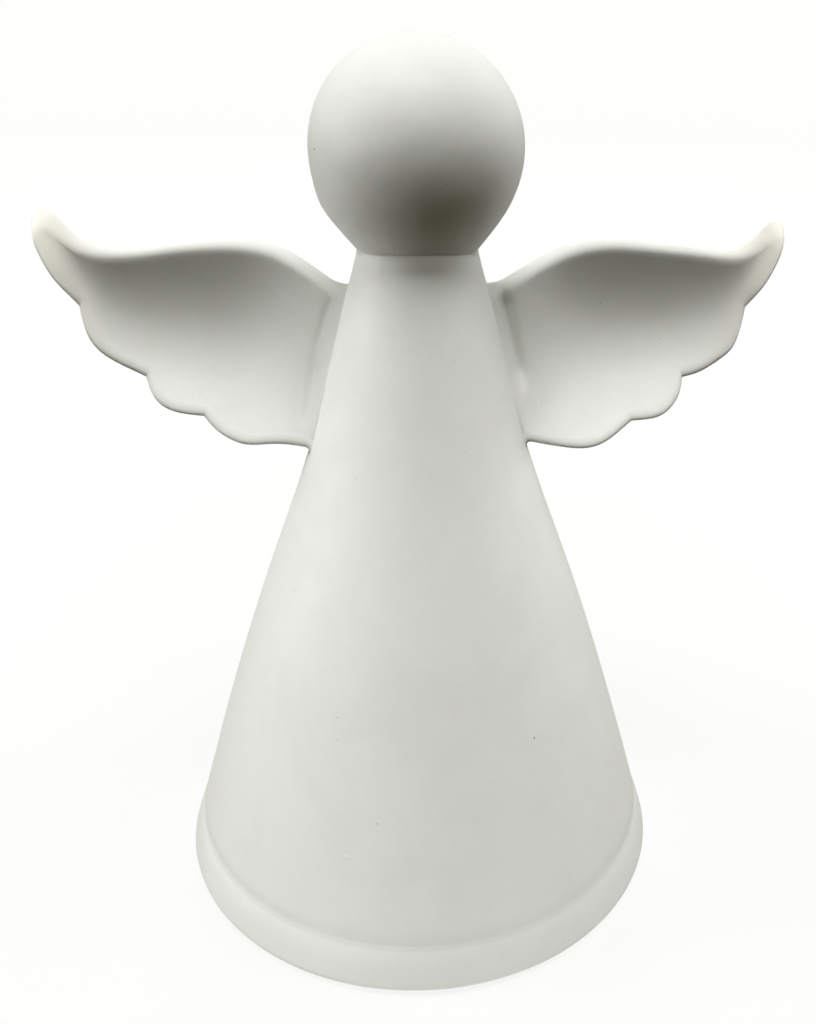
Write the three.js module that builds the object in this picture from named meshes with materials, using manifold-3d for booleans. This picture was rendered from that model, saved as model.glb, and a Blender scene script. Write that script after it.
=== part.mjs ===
// Light-up porcelain angel: a hollow bisque figure with a battery light module in its base.
// Millimetres, +Z up. The origin is on the table, under the middle of the gown, and the front faces -Y.

import * as THREE from "three";
import { mergeVertices } from "three/addons/utils/BufferGeometryUtils.js";
import Module from "manifold-3d";

const wasm = await Module();
wasm.setup();

// Porcelain figure
const porcelainWall = 3.2; // slip-cast wall of the gown and the head
const glueLine = 0.3; // bed of glue or slip between two pieces that are stuck together
const neckHeight = 135.3; // table to the top of the gown
const neckRadius = 10.8;
const headRadius = 18.85;
const headDrop = 15.55; // the ball's middle above the head's lower rim
const headOverhang = 1.6; // the lower rim beyond the gown's top
const headSideDropShare = 0.5; // how far down the side stays upright before it draws in
const lightHoleLedge = 1.6; // the ledge round the hole that lets light up into the head
const creaseHeight = 10; // the groove above the hem band
const creaseRadius = 48.9;
const hemTopSetback = 0.9; // height of the hem band's rounded upper edge
const hemLedge = 1.1; // the hem band's upper edge beyond the groove
const hemFlare = 1.4; // the foot beyond the band's upper edge
const footRounding = 1.5;
const gownShares = [
  [1, 0],
  [0.768, 0.24],
  [0.505, 0.479],
  [0.273, 0.678],
  [0.131, 0.838],
  [0, 1],
];

// Foot pads
const padCount = 4;
const padRadius = 4;
const padHeight = 0.9;

// Wings, in shares of their reach outwards and their rise from the lowest feather
const wingReach = 70; // middle of the figure to the outermost feather
const wingRootSink = 1.8; // the outlines begin this far inside the neck's radius
const wingLowBelowNeck = 41.1;
const wingTipAboveNeck = 3.2;
const wingThickness = 4;
const wingBackset = 8; // how far behind the middle the upper edge starts
const wingBow = 3.5; // how far the middle of the span bows back
const wingTipForward = 1.5;
const wingDrop = 42; // upper edge to lower edge where the wing is deepest
const wingTaperShare = 0.6; // how soon the dish grows shallow towards the tip
const dishLeanShare = 0.29; // the section leans back under the upper edge
const dishFlareShare = 0.6; // and flares forward to the lower edge
const wingUpperShares = [
  [0, 0.628],
  [0.082, 0.688],
  [0.189, 0.772],
  [0.295, 0.851],
  [0.443, 0.88],
  [0.607, 0.867],
  [0.754, 0.842],
  [0.852, 0.867],
  [0.923, 0.95],
  [0.967, 0.998],
  [0.993, 0.971],
];
const rootFeatherShares = [
  [0.098, -0.007],
  [0.213, 0],
  [0.311, 0.009],
  [0.41, 0.009],
  [0.467, 0.036],
  [0.511, 0.084],
  [0.539, 0.124],
];
const innerFeatherShares = [
  [0.539, 0.124],
  [0.582, 0.126],
  [0.631, 0.142],
  [0.675, 0.185],
  [0.7, 0.242],
  [0.71, 0.296],
];
const outerFeatherShares = [
  [0.71, 0.296],
  [0.754, 0.323],
  [0.803, 0.366],
  [0.846, 0.422],
  [0.875, 0.497],
  [0.887, 0.603],
];
const tipFeatherShares = [
  [0.887, 0.603],
  [0.925, 0.677],
  [0.962, 0.765],
  [0.99, 0.849],
  [1, 0.921],
  [0.993, 0.971],
];

// Light module: running and seating clearances
const seatGap = 0.3; // between two pieces that rest on each other
const runGap = 0.1; // round a pin that turns in its barrel
const slideGap = 0.4; // round a piece that slides or swings in its opening

// Module base: the flange, the disc and the battery bay in one moulding
const flangeOverhang = 5.3; // the flange beyond the module's cover
const flangeThickness = 1.5;
const flangeRecess = 0.2; // the flange stays this far above the porcelain's underside
const discRim = 1.45; // the disc beyond the door's corners
const pocketRoof = 0.7; // the disc above the hinge's pocket
const bayWall = 1.5;
const bayRoof = 1.4;
const bayCornerRadius = 3;

// Battery cells, three in series
const cellCount = 3;
const cellRadius = 5.25;
const cellLength = 44.5; // over the positive nub
const nubLength = 0.9;
const nubRadius = 1.9;
const cellPitch = 11; // middle to middle
const cellHeadroom = 0.6; // cells to the bay's roof and to the door

// Battery contacts
const contactThickness = 0.4;
const contactWidth = 8;
const contactHeight = 8.5;
const tailWidth = 2;
const tailRise = 1.2; // the solder tail above the bay's roof
const springLength = 4.6;
const springWire = 0.7;
const springRadius = 3;
const springTurns = 3.5;
const springTaperShare = 0.35; // how much narrower the spring is at its tip

// Battery door and its hinge
const doorThickness = 1.3;
const doorLip = 1.5; // the door's edge beyond the bay's opening
const doorDrop = 0.1; // the door's face above the disc's face
const hingeSetback = 3.2; // the hinge's axis beyond the door's edge, so that the edge swings clear
const barrelRadius = 1.2;
const barrelLength = 22;
const strapSwing = 0.8; // room in front of the barrel for the strap as it swings down
const hingePinRadius = 0.6;
const hingePinGrip = 3; // how far the pin reaches into the disc on each side
const catchWidth = 9;
const catchThickness = 1;
const catchReach = 2.4; // the tongue's height above the door
const notchRadius = 3.6; // the finger notch that opens the door

// Module cover, its screws and the grip ring
const coverWall = 1.4;
const coverRoof = 1.4;
const bossRadius = 2.7;
const bossInset = 0.7; // the bosses inside the disc's edge
const screwRadius = 1.1;
const screwBoreRadius = 1.2;
const screwHeadRadius = 2.1;
const screwHeadHeight = 1.4;
const screwLength = 7;
const screwSlotWidth = 0.7;
const screwSlotDepth = 0.7;
const screwCrossShare = 0.8; // the cross in the head, of the head's radius
const screwBearings = [62, 118, 270]; // degrees round the disc
const gripThickness = 1.2;
const gripRise = 1; // the ring above the porcelain's floor
const gripBead = 0.3; // how far the ring's two beads stand proud

// Slide switch
const switchMargin = 3.5; // the switch's pocket behind the finger notch
const switchTravel = 3;
const switchBodyLength = 8.5;
const switchBodyWidth = 3.8;
const switchBodyHeight = 3.6;
const stemLength = 2.6;
const stemWidth = 1.6;
const knobLength = 5;
const knobWidth = 3.4;
const knobThickness = 1.1;
const knobRidges = 3;
const knobRidgeWidth = 0.5;
const knobRidgeHeight = 0.25;

// Circuit board, lamps and diffuser
const postRadius = 1.6;
const postHeight = 0.8;
const boardRim = 4.5; // the board beyond the lamps
const boardThickness = 1.2;
const boardHeadroom = 1.8; // the board's top to the cover's roof
const lampCount = 3;
const lampRadius = 2.5;
const lampFlangeRadius = 2.9;
const lampFlangeHeight = 1;
const lampHeight = 8.2;
const lampCircleRadius = 6;
const resistorRadius = 0.95;
const resistorLength = 5;
const resistorLegRadius = 0.3;
const resistorLegSpan = 9;
const diffuserMargin = 3.5; // the dome beyond the lamps
const diffuserWall = 1.2;
const diffuserHeadroom = 9; // the dome's top above the lamps
const diffuserLip = 1.6; // the rim outside the dome
const diffuserLipThickness = 1;

// Leads
const leadRadius = 0.55;
const leadSag = 1.4; // how far a lead bows up between its ends

// Facets
const bodyFacets = 56;
const bodySteps = 13;
const headFacets = 40;
const headSteps = 11;
const innerStepsShare = 0.5; // the hidden inner sides have fewer steps
const ringFacets = 40;
const domeSteps = 6;
const smallFacets = 16;
const wireFacets = 6;
const wingFeatherSteps = 6; // ribs along each feather
const wingTipSteps = 7;
const wingFaceSteps = 7; // from the upper edge to the lower one
const wingEdgeSteps = 3;
const wingEdgeLimit = 0.49; // half the thickness, at most, of a narrow rib's drop
const springStepsPerTurn = 10;
const leadSteps = 18;
const cornerSteps = 4;
const weldDistance = 0.001; // corners nearer than this are one
const cutOver = 1; // how far a cutting shape runs past the face that it cuts

// Heights, radii and half sizes that follow from the sizes above
const lightHoleRadius = neckRadius - porcelainWall - lightHoleLedge;
const headFootRadius = neckRadius + headOverhang;
const headRim = neckHeight + glueLine;
const headCentre = headRim + headDrop;
const hemTopRadius = creaseRadius + hemLedge;
const baseRadius = hemTopRadius + hemFlare;
const wingStart = neckRadius - wingRootSink;
const wingLowHeight = neckHeight - wingLowBelowNeck;
const wingTipHeight = neckHeight + wingTipAboveNeck;

const bayHalfX = (cellLength + springLength) / 2 + contactThickness + 2 * seatGap;
const bayHalfY = ((cellCount - 1) * cellPitch) / 2 + cellRadius + cellHeadroom;
const bayReach = Math.hypot(bayHalfX - bayCornerRadius, bayHalfY - bayCornerRadius) + bayCornerRadius;
const discRadius = bayReach + doorLip + discRim;
const coverOuterRadius = discRadius + seatGap + coverWall;
const flangeRadius = coverOuterRadius + flangeOverhang;
const rebateRadius = flangeRadius + slideGap;
const rebateDepth = flangeRecess + flangeThickness + seatGap;
const baseHoleRadius = coverOuterRadius + gripThickness + 2 * seatGap;
const padCircleRadius = (rebateRadius + baseRadius - footRounding) / 2;
const bossCircleRadius = discRadius - bossRadius - bossInset;
const diffuserRadius = lampCircleRadius + lampFlangeRadius + diffuserMargin;
const boardRadius = lampCircleRadius + lampFlangeRadius + boardRim;
const postCircleRadius = boardRadius - postRadius;

const footHeight = padHeight + glueLine;
const floorTop = footHeight + rebateDepth + porcelainWall;
const discThickness = doorDrop + 2 * barrelRadius + slideGap + pocketRoof;
const discBottom = footHeight + flangeRecess;
const flangeTop = discBottom + flangeThickness;
const discTop = discBottom + discThickness;
const doorBottom = discBottom + doorDrop;
const doorTop = doorBottom + doorThickness;
const ledgeHeight = doorTop + seatGap;
const cellCentre = doorTop + cellHeadroom + cellRadius;
const bayCeiling = cellCentre + cellRadius + cellHeadroom;
const bayTop = bayCeiling + bayRoof;
const boardBottom = bayTop + postHeight + seatGap;
const boardTop = boardBottom + boardThickness;
const coverTopHeight = boardTop + boardHeadroom + coverRoof;
const lampTop = boardTop + seatGap + lampHeight;
const diffuserBottom = coverTopHeight + seatGap;
const diffuserRise = lampTop + diffuserHeadroom - diffuserBottom - diffuserLipThickness;

const doorHalfX = bayHalfX + doorLip - slideGap;
const doorHalfY = bayHalfY + doorLip - slideGap;
const hingeY = -(doorHalfY + hingeSetback);
const hingeHeight = doorBottom + barrelRadius;
const knobHalfWidth = knobWidth / 2 + slideGap;
const switchDistance = bayHalfY + doorLip + notchRadius + switchMargin + knobHalfWidth;

// Joins and cuts

function solidOf(geometry) {
  const bare = geometry.index ? geometry.toNonIndexed() : geometry.clone();
  bare.deleteAttribute("normal");
  bare.deleteAttribute("uv");
  const merged = mergeVertices(bare, weldDistance);
  const make = (triVerts) =>
    new wasm.Manifold(
      new wasm.Mesh({ numProp: 3, vertProperties: merged.attributes.position.array, triVerts }),
    );
  const triangles = new Uint32Array(merged.index.array);
  const solid = make(triangles);
  return solid.volume() > 0 ? solid : make(triangles.reverse());
}

function geometryOf(solid) {
  const made = solid.getMesh();
  const places = new Float32Array(made.numVert * 3);
  for (let i = 0; i < made.numVert; i++) {
    places.set(made.vertProperties.subarray(i * made.numProp, i * made.numProp + 3), i * 3);
  }
  const geometry = new THREE.BufferGeometry();
  geometry.setAttribute("position", new THREE.BufferAttribute(places, 3));
  geometry.setIndex(new THREE.BufferAttribute(made.triVerts, 1));
  geometry.computeVertexNormals();
  return geometry;
}

const joined = (first, ...others) => others.reduce((whole, piece) => whole.add(piece), first);
const cutBy = (first, ...tools) => tools.reduce((whole, tool) => whole.subtract(tool), first);

// Basic solids

function turned(profile, facets) {
  const points = profile.map(([radius, height]) => new THREE.Vector2(radius, height));
  return solidOf(new THREE.LatheGeometry(points, facets).rotateX(Math.PI / 2));
}

function upright(radius, bottom, top, facets, x = 0, y = 0) {
  const cylinder = new THREE.CylinderGeometry(radius, radius, top - bottom, facets);
  return solidOf(cylinder.rotateX(Math.PI / 2).translate(x, y, (bottom + top) / 2));
}

function lengthwise(radius, from, to, facets, y, z) {
  const cylinder = new THREE.CylinderGeometry(radius, radius, to - from, facets);
  return solidOf(cylinder.rotateZ(Math.PI / 2).translate((from + to) / 2, y, z));
}

function block(low, high) {
  const size = high.map((value, i) => value - low[i]);
  const middle = high.map((value, i) => (value + low[i]) / 2);
  return solidOf(new THREE.BoxGeometry(...size).translate(...middle));
}

function roundedBlock(halfX, halfY, corner, bottom, top) {
  const shape = new THREE.Shape();
  const straightX = halfX - corner;
  const straightY = halfY - corner;
  shape.absarc(straightX, straightY, corner, 0, Math.PI / 2);
  shape.absarc(-straightX, straightY, corner, Math.PI / 2, Math.PI);
  shape.absarc(-straightX, -straightY, corner, Math.PI, 1.5 * Math.PI);
  shape.absarc(straightX, -straightY, corner, 1.5 * Math.PI, 2 * Math.PI);
  shape.closePath();
  const options = { depth: top - bottom, bevelEnabled: false, curveSegments: cornerSteps };
  return solidOf(new THREE.ExtrudeGeometry(shape, options).translate(0, 0, bottom));
}

function tubeAlong(curve, radius, sides, steps) {
  const section = new THREE.Shape();
  for (let i = 0; i < sides; i++) {
    const angle = (2 * Math.PI * i) / sides;
    const method = i ? "lineTo" : "moveTo";
    section[method](radius * Math.cos(angle), radius * Math.sin(angle));
  }
  section.closePath();
  return solidOf(new THREE.ExtrudeGeometry(section, { steps, extrudePath: curve, bevelEnabled: false }));
}

// A closed body through a row of rings, with a fan over each end.
function lofted(rings) {
  const count = rings[0].length;
  const places = rings.flat().flatMap((point) => point.toArray());
  const index = [];
  for (let r = 0; r + 1 < rings.length; r++) {
    for (let i = 0; i < count; i++) {
      const a = r * count + i;
      const b = r * count + ((i + 1) % count);
      index.push(a, b, a + count, b, b + count, a + count);
    }
  }
  for (const [start, turn] of [
    [0, false],
    [(rings.length - 1) * count, true],
  ]) {
    const ring = start ? rings.at(-1) : rings[0];
    const middle = ring.reduce((sum, point) => sum.add(point), new THREE.Vector3()).divideScalar(count);
    const hub = places.length / 3;
    places.push(...middle.toArray());
    for (let i = 0; i < count; i++) {
      const next = (i + 1) % count;
      index.push(hub, start + (turn ? i : next), start + (turn ? next : i));
    }
  }
  const geometry = new THREE.BufferGeometry();
  geometry.setAttribute("position", new THREE.Float32BufferAttribute(places, 3));
  geometry.setIndex(index);
  return solidOf(geometry);
}

const onCircle = (radius, degrees) => {
  const angle = THREE.MathUtils.degToRad(degrees);
  return [radius * Math.cos(angle), radius * Math.sin(angle)];
};

// Porcelain figure

// The gown's outer side from the crease up to the neck, moved outwards by a margin.
function gownSide(margin, steps = bodySteps) {
  const fall = creaseRadius - neckRadius;
  const rise = neckHeight - creaseHeight;
  const points = gownShares.map(
    ([out, up]) => new THREE.Vector2(neckRadius + fall * out, creaseHeight + rise * up),
  );
  const side = new THREE.SplineCurve(points).getPoints(steps);
  return side.map((point) => [point.x + margin, point.y]);
}

function footCorner() {
  const middle = [baseRadius - footRounding, footHeight + footRounding];
  return [-90, -60, -30, 0].map((degrees) => {
    const [out, up] = onCircle(footRounding, degrees);
    return [middle[0] + out, middle[1] + up];
  });
}

function gownShell() {
  const innerSide = gownSide(-porcelainWall, Math.round(bodySteps * innerStepsShare))
    .filter(([, height]) => height < neckHeight - porcelainWall)
    .reverse();
  const innerTop = innerSide[0][0];
  const innerFoot = baseRadius - 2 * porcelainWall;
  return turned(
    [
      [baseHoleRadius, floorTop],
      [baseHoleRadius, footHeight + rebateDepth],
      [rebateRadius, footHeight + rebateDepth],
      [rebateRadius, footHeight],
      ...footCorner(),
      [hemTopRadius, creaseHeight - hemTopSetback],
      ...gownSide(0),
      [lightHoleRadius, neckHeight],
      [lightHoleRadius, neckHeight - porcelainWall],
      [innerTop, neckHeight - porcelainWall],
      ...innerSide,
      [innerFoot, floorTop],
      [baseHoleRadius, floorTop],
    ],
    bodyFacets,
  );
}

// The head's side from the top of the ball down to its rim, drawn in by a margin.
function headSide(margin, steps = headSteps) {
  const radius = headRadius - margin;
  const side = [];
  for (let i = 0; i <= steps; i++) {
    const angle = ((1 - i / steps) * Math.PI) / 2;
    side.push([radius * Math.cos(angle), headCentre + radius * Math.sin(angle)]);
  }
  side[0][0] = 0;
  const lower = new THREE.QuadraticBezierCurve(
    new THREE.Vector2(radius, headCentre),
    new THREE.Vector2(radius, headCentre - headDrop * headSideDropShare),
    new THREE.Vector2(headFootRadius - margin, headRim),
  );
  for (const point of lower.getPoints(Math.ceil(steps / 2)).slice(1)) {
    side.push([point.x, point.y]);
  }
  return side;
}

function headShell() {
  const floorHeight = headRim + porcelainWall;
  const inner = headSide(porcelainWall, Math.round(headSteps * innerStepsShare))
    .filter(([, height]) => height > floorHeight)
    .reverse();
  const innerFoot = inner[0][0];
  return turned(
    [
      ...headSide(0),
      [lightHoleRadius, headRim],
      [lightHoleRadius, floorHeight],
      [innerFoot, floorHeight],
      ...inner,
    ],
    headFacets,
  );
}

const wingPoint = ([out, up]) =>
  new THREE.Vector2(
    wingStart + (wingReach - wingStart) * out,
    wingLowHeight + (wingTipHeight - wingLowHeight) * up,
  );
const wingCurve = (shares) => new THREE.SplineCurve(shares.map(wingPoint));

// Pairs of points, one on the upper edge and one on the feathers, at equal shares of each edge's length.
function wingRibs() {
  const upper = wingCurve(wingUpperShares);
  const edges = [rootFeatherShares, innerFeatherShares, outerFeatherShares, tipFeatherShares];
  const feathers = edges.map(wingCurve);
  const lengths = feathers.map((feather) => feather.getLength());
  const whole = lengths.reduce((sum, length) => sum + length, 0);
  const ribs = [];
  let done = 0;
  feathers.forEach((feather, f) => {
    const last = f === feathers.length - 1;
    const steps = last ? wingTipSteps : wingFeatherSteps;
    for (let i = 0; i < steps; i++) {
      const along = i / steps;
      const share = (done + lengths[f] * along) / whole;
      ribs.push([upper.getPointAt(share), feather.getPointAt(along)]);
    }
    done += lengths[f];
  });
  return ribs;
}

// How far behind the figure's middle the wing lies, some way below its upper edge:
// a bow along the span, and a dish that leans back and then flares forward.
function wingDepth(top, below) {
  const span = THREE.MathUtils.clamp((top.x - wingStart) / (wingReach - wingStart), 0, 1);
  const edge = wingBackset + 4 * wingBow * span * (1 - span) - wingTipForward * span;
  const down = below / (wingDrop * (1 - span * span) ** wingTaperShare);
  return edge + below * (dishLeanShare - dishFlareShare * down);
}

// One closed section of the wing: its front, its rounded lower edge, its back and its rounded upper edge.
function wingSection([top, low], side) {
  const across = low.clone().sub(top);
  const drop = across.length();
  const half = Math.min(wingThickness / 2, wingEdgeLimit * drop);
  const outward = across.clone().divideScalar(drop);
  const at = (share, back) => {
    const inset = half + (drop - 2 * half) * share;
    const place = top.clone().addScaledVector(outward, inset);
    const depth = wingDepth(top, inset) + back * half;
    return new THREE.Vector3(side * place.x, depth, place.y);
  };
  const edge = (share, direction, start) => {
    const points = [];
    for (let i = 1; i < wingEdgeSteps; i++) {
      const angle = (Math.PI * i) / wingEdgeSteps;
      const place = at(share, start * Math.cos(angle));
      const reach = direction * half * Math.sin(angle);
      points.push(place.add(new THREE.Vector3(side * outward.x * reach, 0, outward.y * reach)));
    }
    return points;
  };
  const front = [];
  const back = [];
  for (let i = 0; i <= wingFaceSteps; i++) {
    front.push(at(i / wingFaceSteps, -1));
    back.push(at(1 - i / wingFaceSteps, 1));
  }
  return [...front, ...edge(1, 1, -1), ...back, ...edge(0, -1, 1)];
}

// The space that the gown fills, with the bed of slip round it, so that the wing's root fits its side.
function gownSpace() {
  const side = gownSide(glueLine);
  return turned([[0, creaseHeight], ...side, [0, neckHeight]], bodyFacets);
}

const wing = (side) => cutBy(lofted(wingRibs().map((rib) => wingSection(rib, side))), gownSpace());

function footPad(number) {
  const [x, y] = onCircle(padCircleRadius, (360 / padCount) * (number - 0.5));
  return upright(padRadius, 0, padHeight, smallFacets, x, y);
}

// Light module

const cellRow = (number) => (number - (cellCount + 1) / 2) * cellPitch;
const facesRight = (number) => number % 2 === 1; // odd cells have their nub towards +X
const screwPlaces = screwBearings.map((bearing) => onCircle(bossCircleRadius, bearing));
const contactPlane = bayHalfX - seatGap - contactThickness / 2;

function moduleBase() {
  const disc = turned(
    [
      [0, discBottom],
      [flangeRadius, discBottom],
      [flangeRadius, flangeTop],
      [discRadius, flangeTop],
      [discRadius, discTop],
      [0, discTop],
    ],
    ringFacets,
  );
  const bayCorner = bayCornerRadius + bayWall;
  const bay = roundedBlock(bayHalfX + bayWall, bayHalfY + bayWall, bayCorner, ledgeHeight, bayTop);
  const posts = [45, 135, 225, 315].map((bearing) => {
    const [x, y] = onCircle(postCircleRadius, bearing);
    return upright(postRadius, bayTop - bayRoof / 2, bayTop + postHeight, smallFacets, x, y);
  });
  const cuts = [
    roundedBlock(bayHalfX, bayHalfY, bayCornerRadius, discBottom - cutOver, bayCeiling),
    doorRecess(),
    hingePocket(),
    hingeBore(),
    upright(notchRadius, discBottom - cutOver, ledgeHeight, ringFacets / 2, 0, bayHalfY + doorLip),
    catchSlot(),
    switchPocket(),
    ...screwPlaces.flatMap(([x, y]) => [
      upright(screwBoreRadius, discBottom - cutOver, discTop + cutOver, smallFacets, x, y),
      upright(
        screwHeadRadius + seatGap,
        discBottom - cutOver,
        discBottom + screwHeadHeight + seatGap,
        smallFacets,
        x,
        y,
      ),
    ]),
    ...tailSlots(),
  ];
  return cutBy(joined(disc, bay, ...posts), ...cuts);
}

const doorRecess = () =>
  roundedBlock(bayHalfX + doorLip, bayHalfY + doorLip, bayCornerRadius, discBottom - cutOver, ledgeHeight);

// Room for the barrel, and below the ledge for the strap from the barrel to the door.
function hingePocket() {
  const half = barrelLength / 2 + slideGap;
  const reach = barrelRadius + slideGap;
  const bottom = discBottom - cutOver;
  const front = hingeY - barrelRadius - strapSwing;
  const barrelRoom = block([-half, front, bottom], [half, hingeY + reach, hingeHeight + reach]);
  const strapRoom = block([-half, hingeY, bottom], [half, -bayHalfY, ledgeHeight]);
  return joined(barrelRoom, strapRoom);
}

function hingeBore() {
  const half = barrelLength / 2 + hingePinGrip + seatGap;
  return lengthwise(hingePinRadius + runGap, -half, half, smallFacets, hingeY, hingeHeight);
}

function catchSlot() {
  const half = catchWidth / 2 + slideGap;
  const inner = bayHalfY - catchThickness - 2 * slideGap;
  return block([-half, inner, discBottom], [half, bayHalfY + slideGap, doorTop + catchReach + slideGap]);
}

function switchPocket() {
  const knobHalfX = (knobLength + switchTravel) / 2 + slideGap;
  const stemHalfX = (stemLength + switchTravel) / 2 + slideGap;
  const stemHalfY = stemWidth / 2 + slideGap;
  const shallow = block(
    [-knobHalfX, switchDistance - knobHalfWidth, discBottom - cutOver],
    [knobHalfX, switchDistance + knobHalfWidth, discBottom + knobThickness + 2 * seatGap],
  );
  const through = block(
    [-stemHalfX, switchDistance - stemHalfY, discBottom - cutOver],
    [stemHalfX, switchDistance + stemHalfY, discTop + cutOver],
  );
  return joined(shallow, through);
}

// Slots in the bay's roof for the solder tails at the two ends of the row of cells.
function tailSlots() {
  const half = tailWidth / 2 + seatGap;
  const thick = contactThickness / 2 + seatGap;
  const slot = (x, y) => block([x - thick, y - half, cellCentre], [x + thick, y + half, bayTop + cutOver]);
  return [slot(-contactPlane, cellRow(1)), slot(contactPlane, cellRow(cellCount))];
}

function moduleCover() {
  const foot = flangeTop + seatGap;
  const inner = coverOuterRadius - coverWall;
  const ceiling = coverTopHeight - coverRoof;
  const cup = turned(
    [
      [inner, foot],
      [coverOuterRadius, foot],
      [coverOuterRadius, coverTopHeight - coverWall],
      [coverOuterRadius - coverWall, coverTopHeight],
      [diffuserRadius - diffuserWall, coverTopHeight],
      [diffuserRadius - diffuserWall, ceiling],
      [inner, ceiling],
      [inner, foot],
    ],
    ringFacets,
  );
  const bosses = screwPlaces.map(([x, y]) =>
    upright(bossRadius, discTop + seatGap, ceiling + coverRoof / 2, smallFacets, x, y),
  );
  const bores = screwPlaces.map(([x, y]) => {
    const end = discBottom + seatGap + screwLength + screwHeadHeight + seatGap;
    return upright(screwBoreRadius, discTop, end, smallFacets, x, y);
  });
  return cutBy(joined(cup, ...bosses), ...bores);
}

function coverScrew([x, y]) {
  const headTop = discBottom + screwHeadHeight;
  const head = upright(screwHeadRadius, discBottom + seatGap, headTop, smallFacets, x, y);
  const shank = upright(screwRadius, headTop - seatGap, headTop + screwLength, smallFacets, x, y);
  const long = screwHeadRadius * screwCrossShare;
  const half = screwSlotWidth / 2;
  const deep = discBottom + seatGap + screwSlotDepth;
  const cross = [
    block([x - long, y - half, discBottom], [x + long, y + half, deep]),
    block([x - half, y - long, discBottom], [x + half, y + long, deep]),
  ];
  return cutBy(joined(head, shank), ...cross);
}

function gripRing() {
  const inner = coverOuterRadius + seatGap;
  const outer = inner + gripThickness;
  const bottom = footHeight + rebateDepth + seatGap;
  const top = floorTop + gripRise;
  const low = bottom + (top - bottom) / 5;
  const high = top - (top - bottom) / 5;
  const middle = (bottom + top) / 2;
  return turned(
    [
      [inner, bottom],
      [outer - gripBead, bottom],
      [outer, low],
      [outer - gripBead, middle],
      [outer, high],
      [outer - gripBead, top],
      [inner, top],
      [inner, bottom],
    ],
    bodyFacets,
  );
}

function batteryCell(number) {
  const y = cellRow(number);
  const plus = contactPlane - contactThickness / 2 - seatGap;
  const body = lengthwise(cellRadius, plus - cellLength, plus - nubLength, ringFacets / 2, 0, 0);
  const nub = lengthwise(nubRadius, plus - 2 * nubLength, plus, smallFacets, 0, 0);
  const placed = joined(body, nub).rotate([0, 0, facesRight(number) ? 0 : 180]);
  return placed.translate([0, y, cellCentre]);
}

// A plate behind one or more cells, with a solder tail where a lead joins it.
function contactPlate(end, rows, tailRow) {
  const x = end * contactPlane;
  const ys = rows.map(cellRow);
  const thick = contactThickness / 2;
  const plate = block(
    [x - thick, Math.min(...ys) - contactWidth / 2, cellCentre - contactHeight / 2],
    [x + thick, Math.max(...ys) + contactWidth / 2, cellCentre + contactHeight / 2],
  );
  if (tailRow === undefined) {
    return plate;
  }
  const y = cellRow(tailRow);
  const tail = block(
    [x - thick, y - tailWidth / 2, cellCentre],
    [x + thick, y + tailWidth / 2, bayTop + tailRise],
  );
  return joined(plate, tail);
}

class CoilCurve extends THREE.Curve {
  constructor(radius, length, turns) {
    super();
    Object.assign(this, { radius, length, turns });
  }
  getPoint(share, target = new THREE.Vector3()) {
    const angle = 2 * Math.PI * this.turns * share;
    const narrow = this.radius * (1 - springTaperShare * share);
    return target.set(this.length * share, narrow * Math.cos(angle), narrow * Math.sin(angle));
  }
}

// A conical spring on the contact behind a cell's flat end.
function batterySpring(number) {
  const length = springLength - springWire - 2 * seatGap;
  const coil = new CoilCurve(springRadius, length, springTurns);
  const spring = tubeAlong(coil, springWire / 2, wireFacets, Math.round(springTurns * springStepsPerTurn));
  const start = contactPlane - contactThickness / 2 - seatGap - springWire / 2;
  const placed = spring.translate([-start, 0, 0]).rotate([0, 0, facesRight(number) ? 0 : 180]);
  return placed.translate([0, cellRow(number), cellCentre]);
}

function batteryDoor() {
  const plate = roundedBlock(doorHalfX, doorHalfY, bayCornerRadius - slideGap, doorBottom, doorTop);
  const half = barrelLength / 2;
  const barrel = lengthwise(barrelRadius, -half, half, smallFacets, hingeY, hingeHeight);
  const strap = block([-half, hingeY, doorBottom], [half, -bayHalfY, doorTop]);
  const outer = bayHalfY - slideGap;
  const tongue = block(
    [-catchWidth / 2, outer - catchThickness, doorTop - doorThickness / 2],
    [catchWidth / 2, outer, doorTop + catchReach],
  );
  const reach = half + cutOver;
  const bore = lengthwise(hingePinRadius + runGap, -reach, reach, smallFacets, hingeY, hingeHeight);
  return cutBy(joined(plate, barrel, strap, tongue), bore);
}

function hingePin() {
  const half = barrelLength / 2 + hingePinGrip;
  return lengthwise(hingePinRadius, -half, half, smallFacets, hingeY, hingeHeight);
}

const switchOff = -switchTravel / 2;

function switchBody() {
  const bottom = discTop + seatGap;
  const halfX = switchBodyLength / 2;
  const halfY = switchBodyWidth / 2;
  const body = block(
    [-halfX, switchDistance - halfY, bottom],
    [halfX, switchDistance + halfY, bottom + switchBodyHeight],
  );
  const slotX = (stemLength + switchTravel) / 2 + slideGap;
  const slotY = stemWidth / 2 + slideGap;
  const slot = block(
    [-slotX, switchDistance - slotY, bottom - cutOver],
    [slotX, switchDistance + slotY, bottom + switchBodyHeight / 2],
  );
  return cutBy(body, slot);
}

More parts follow.
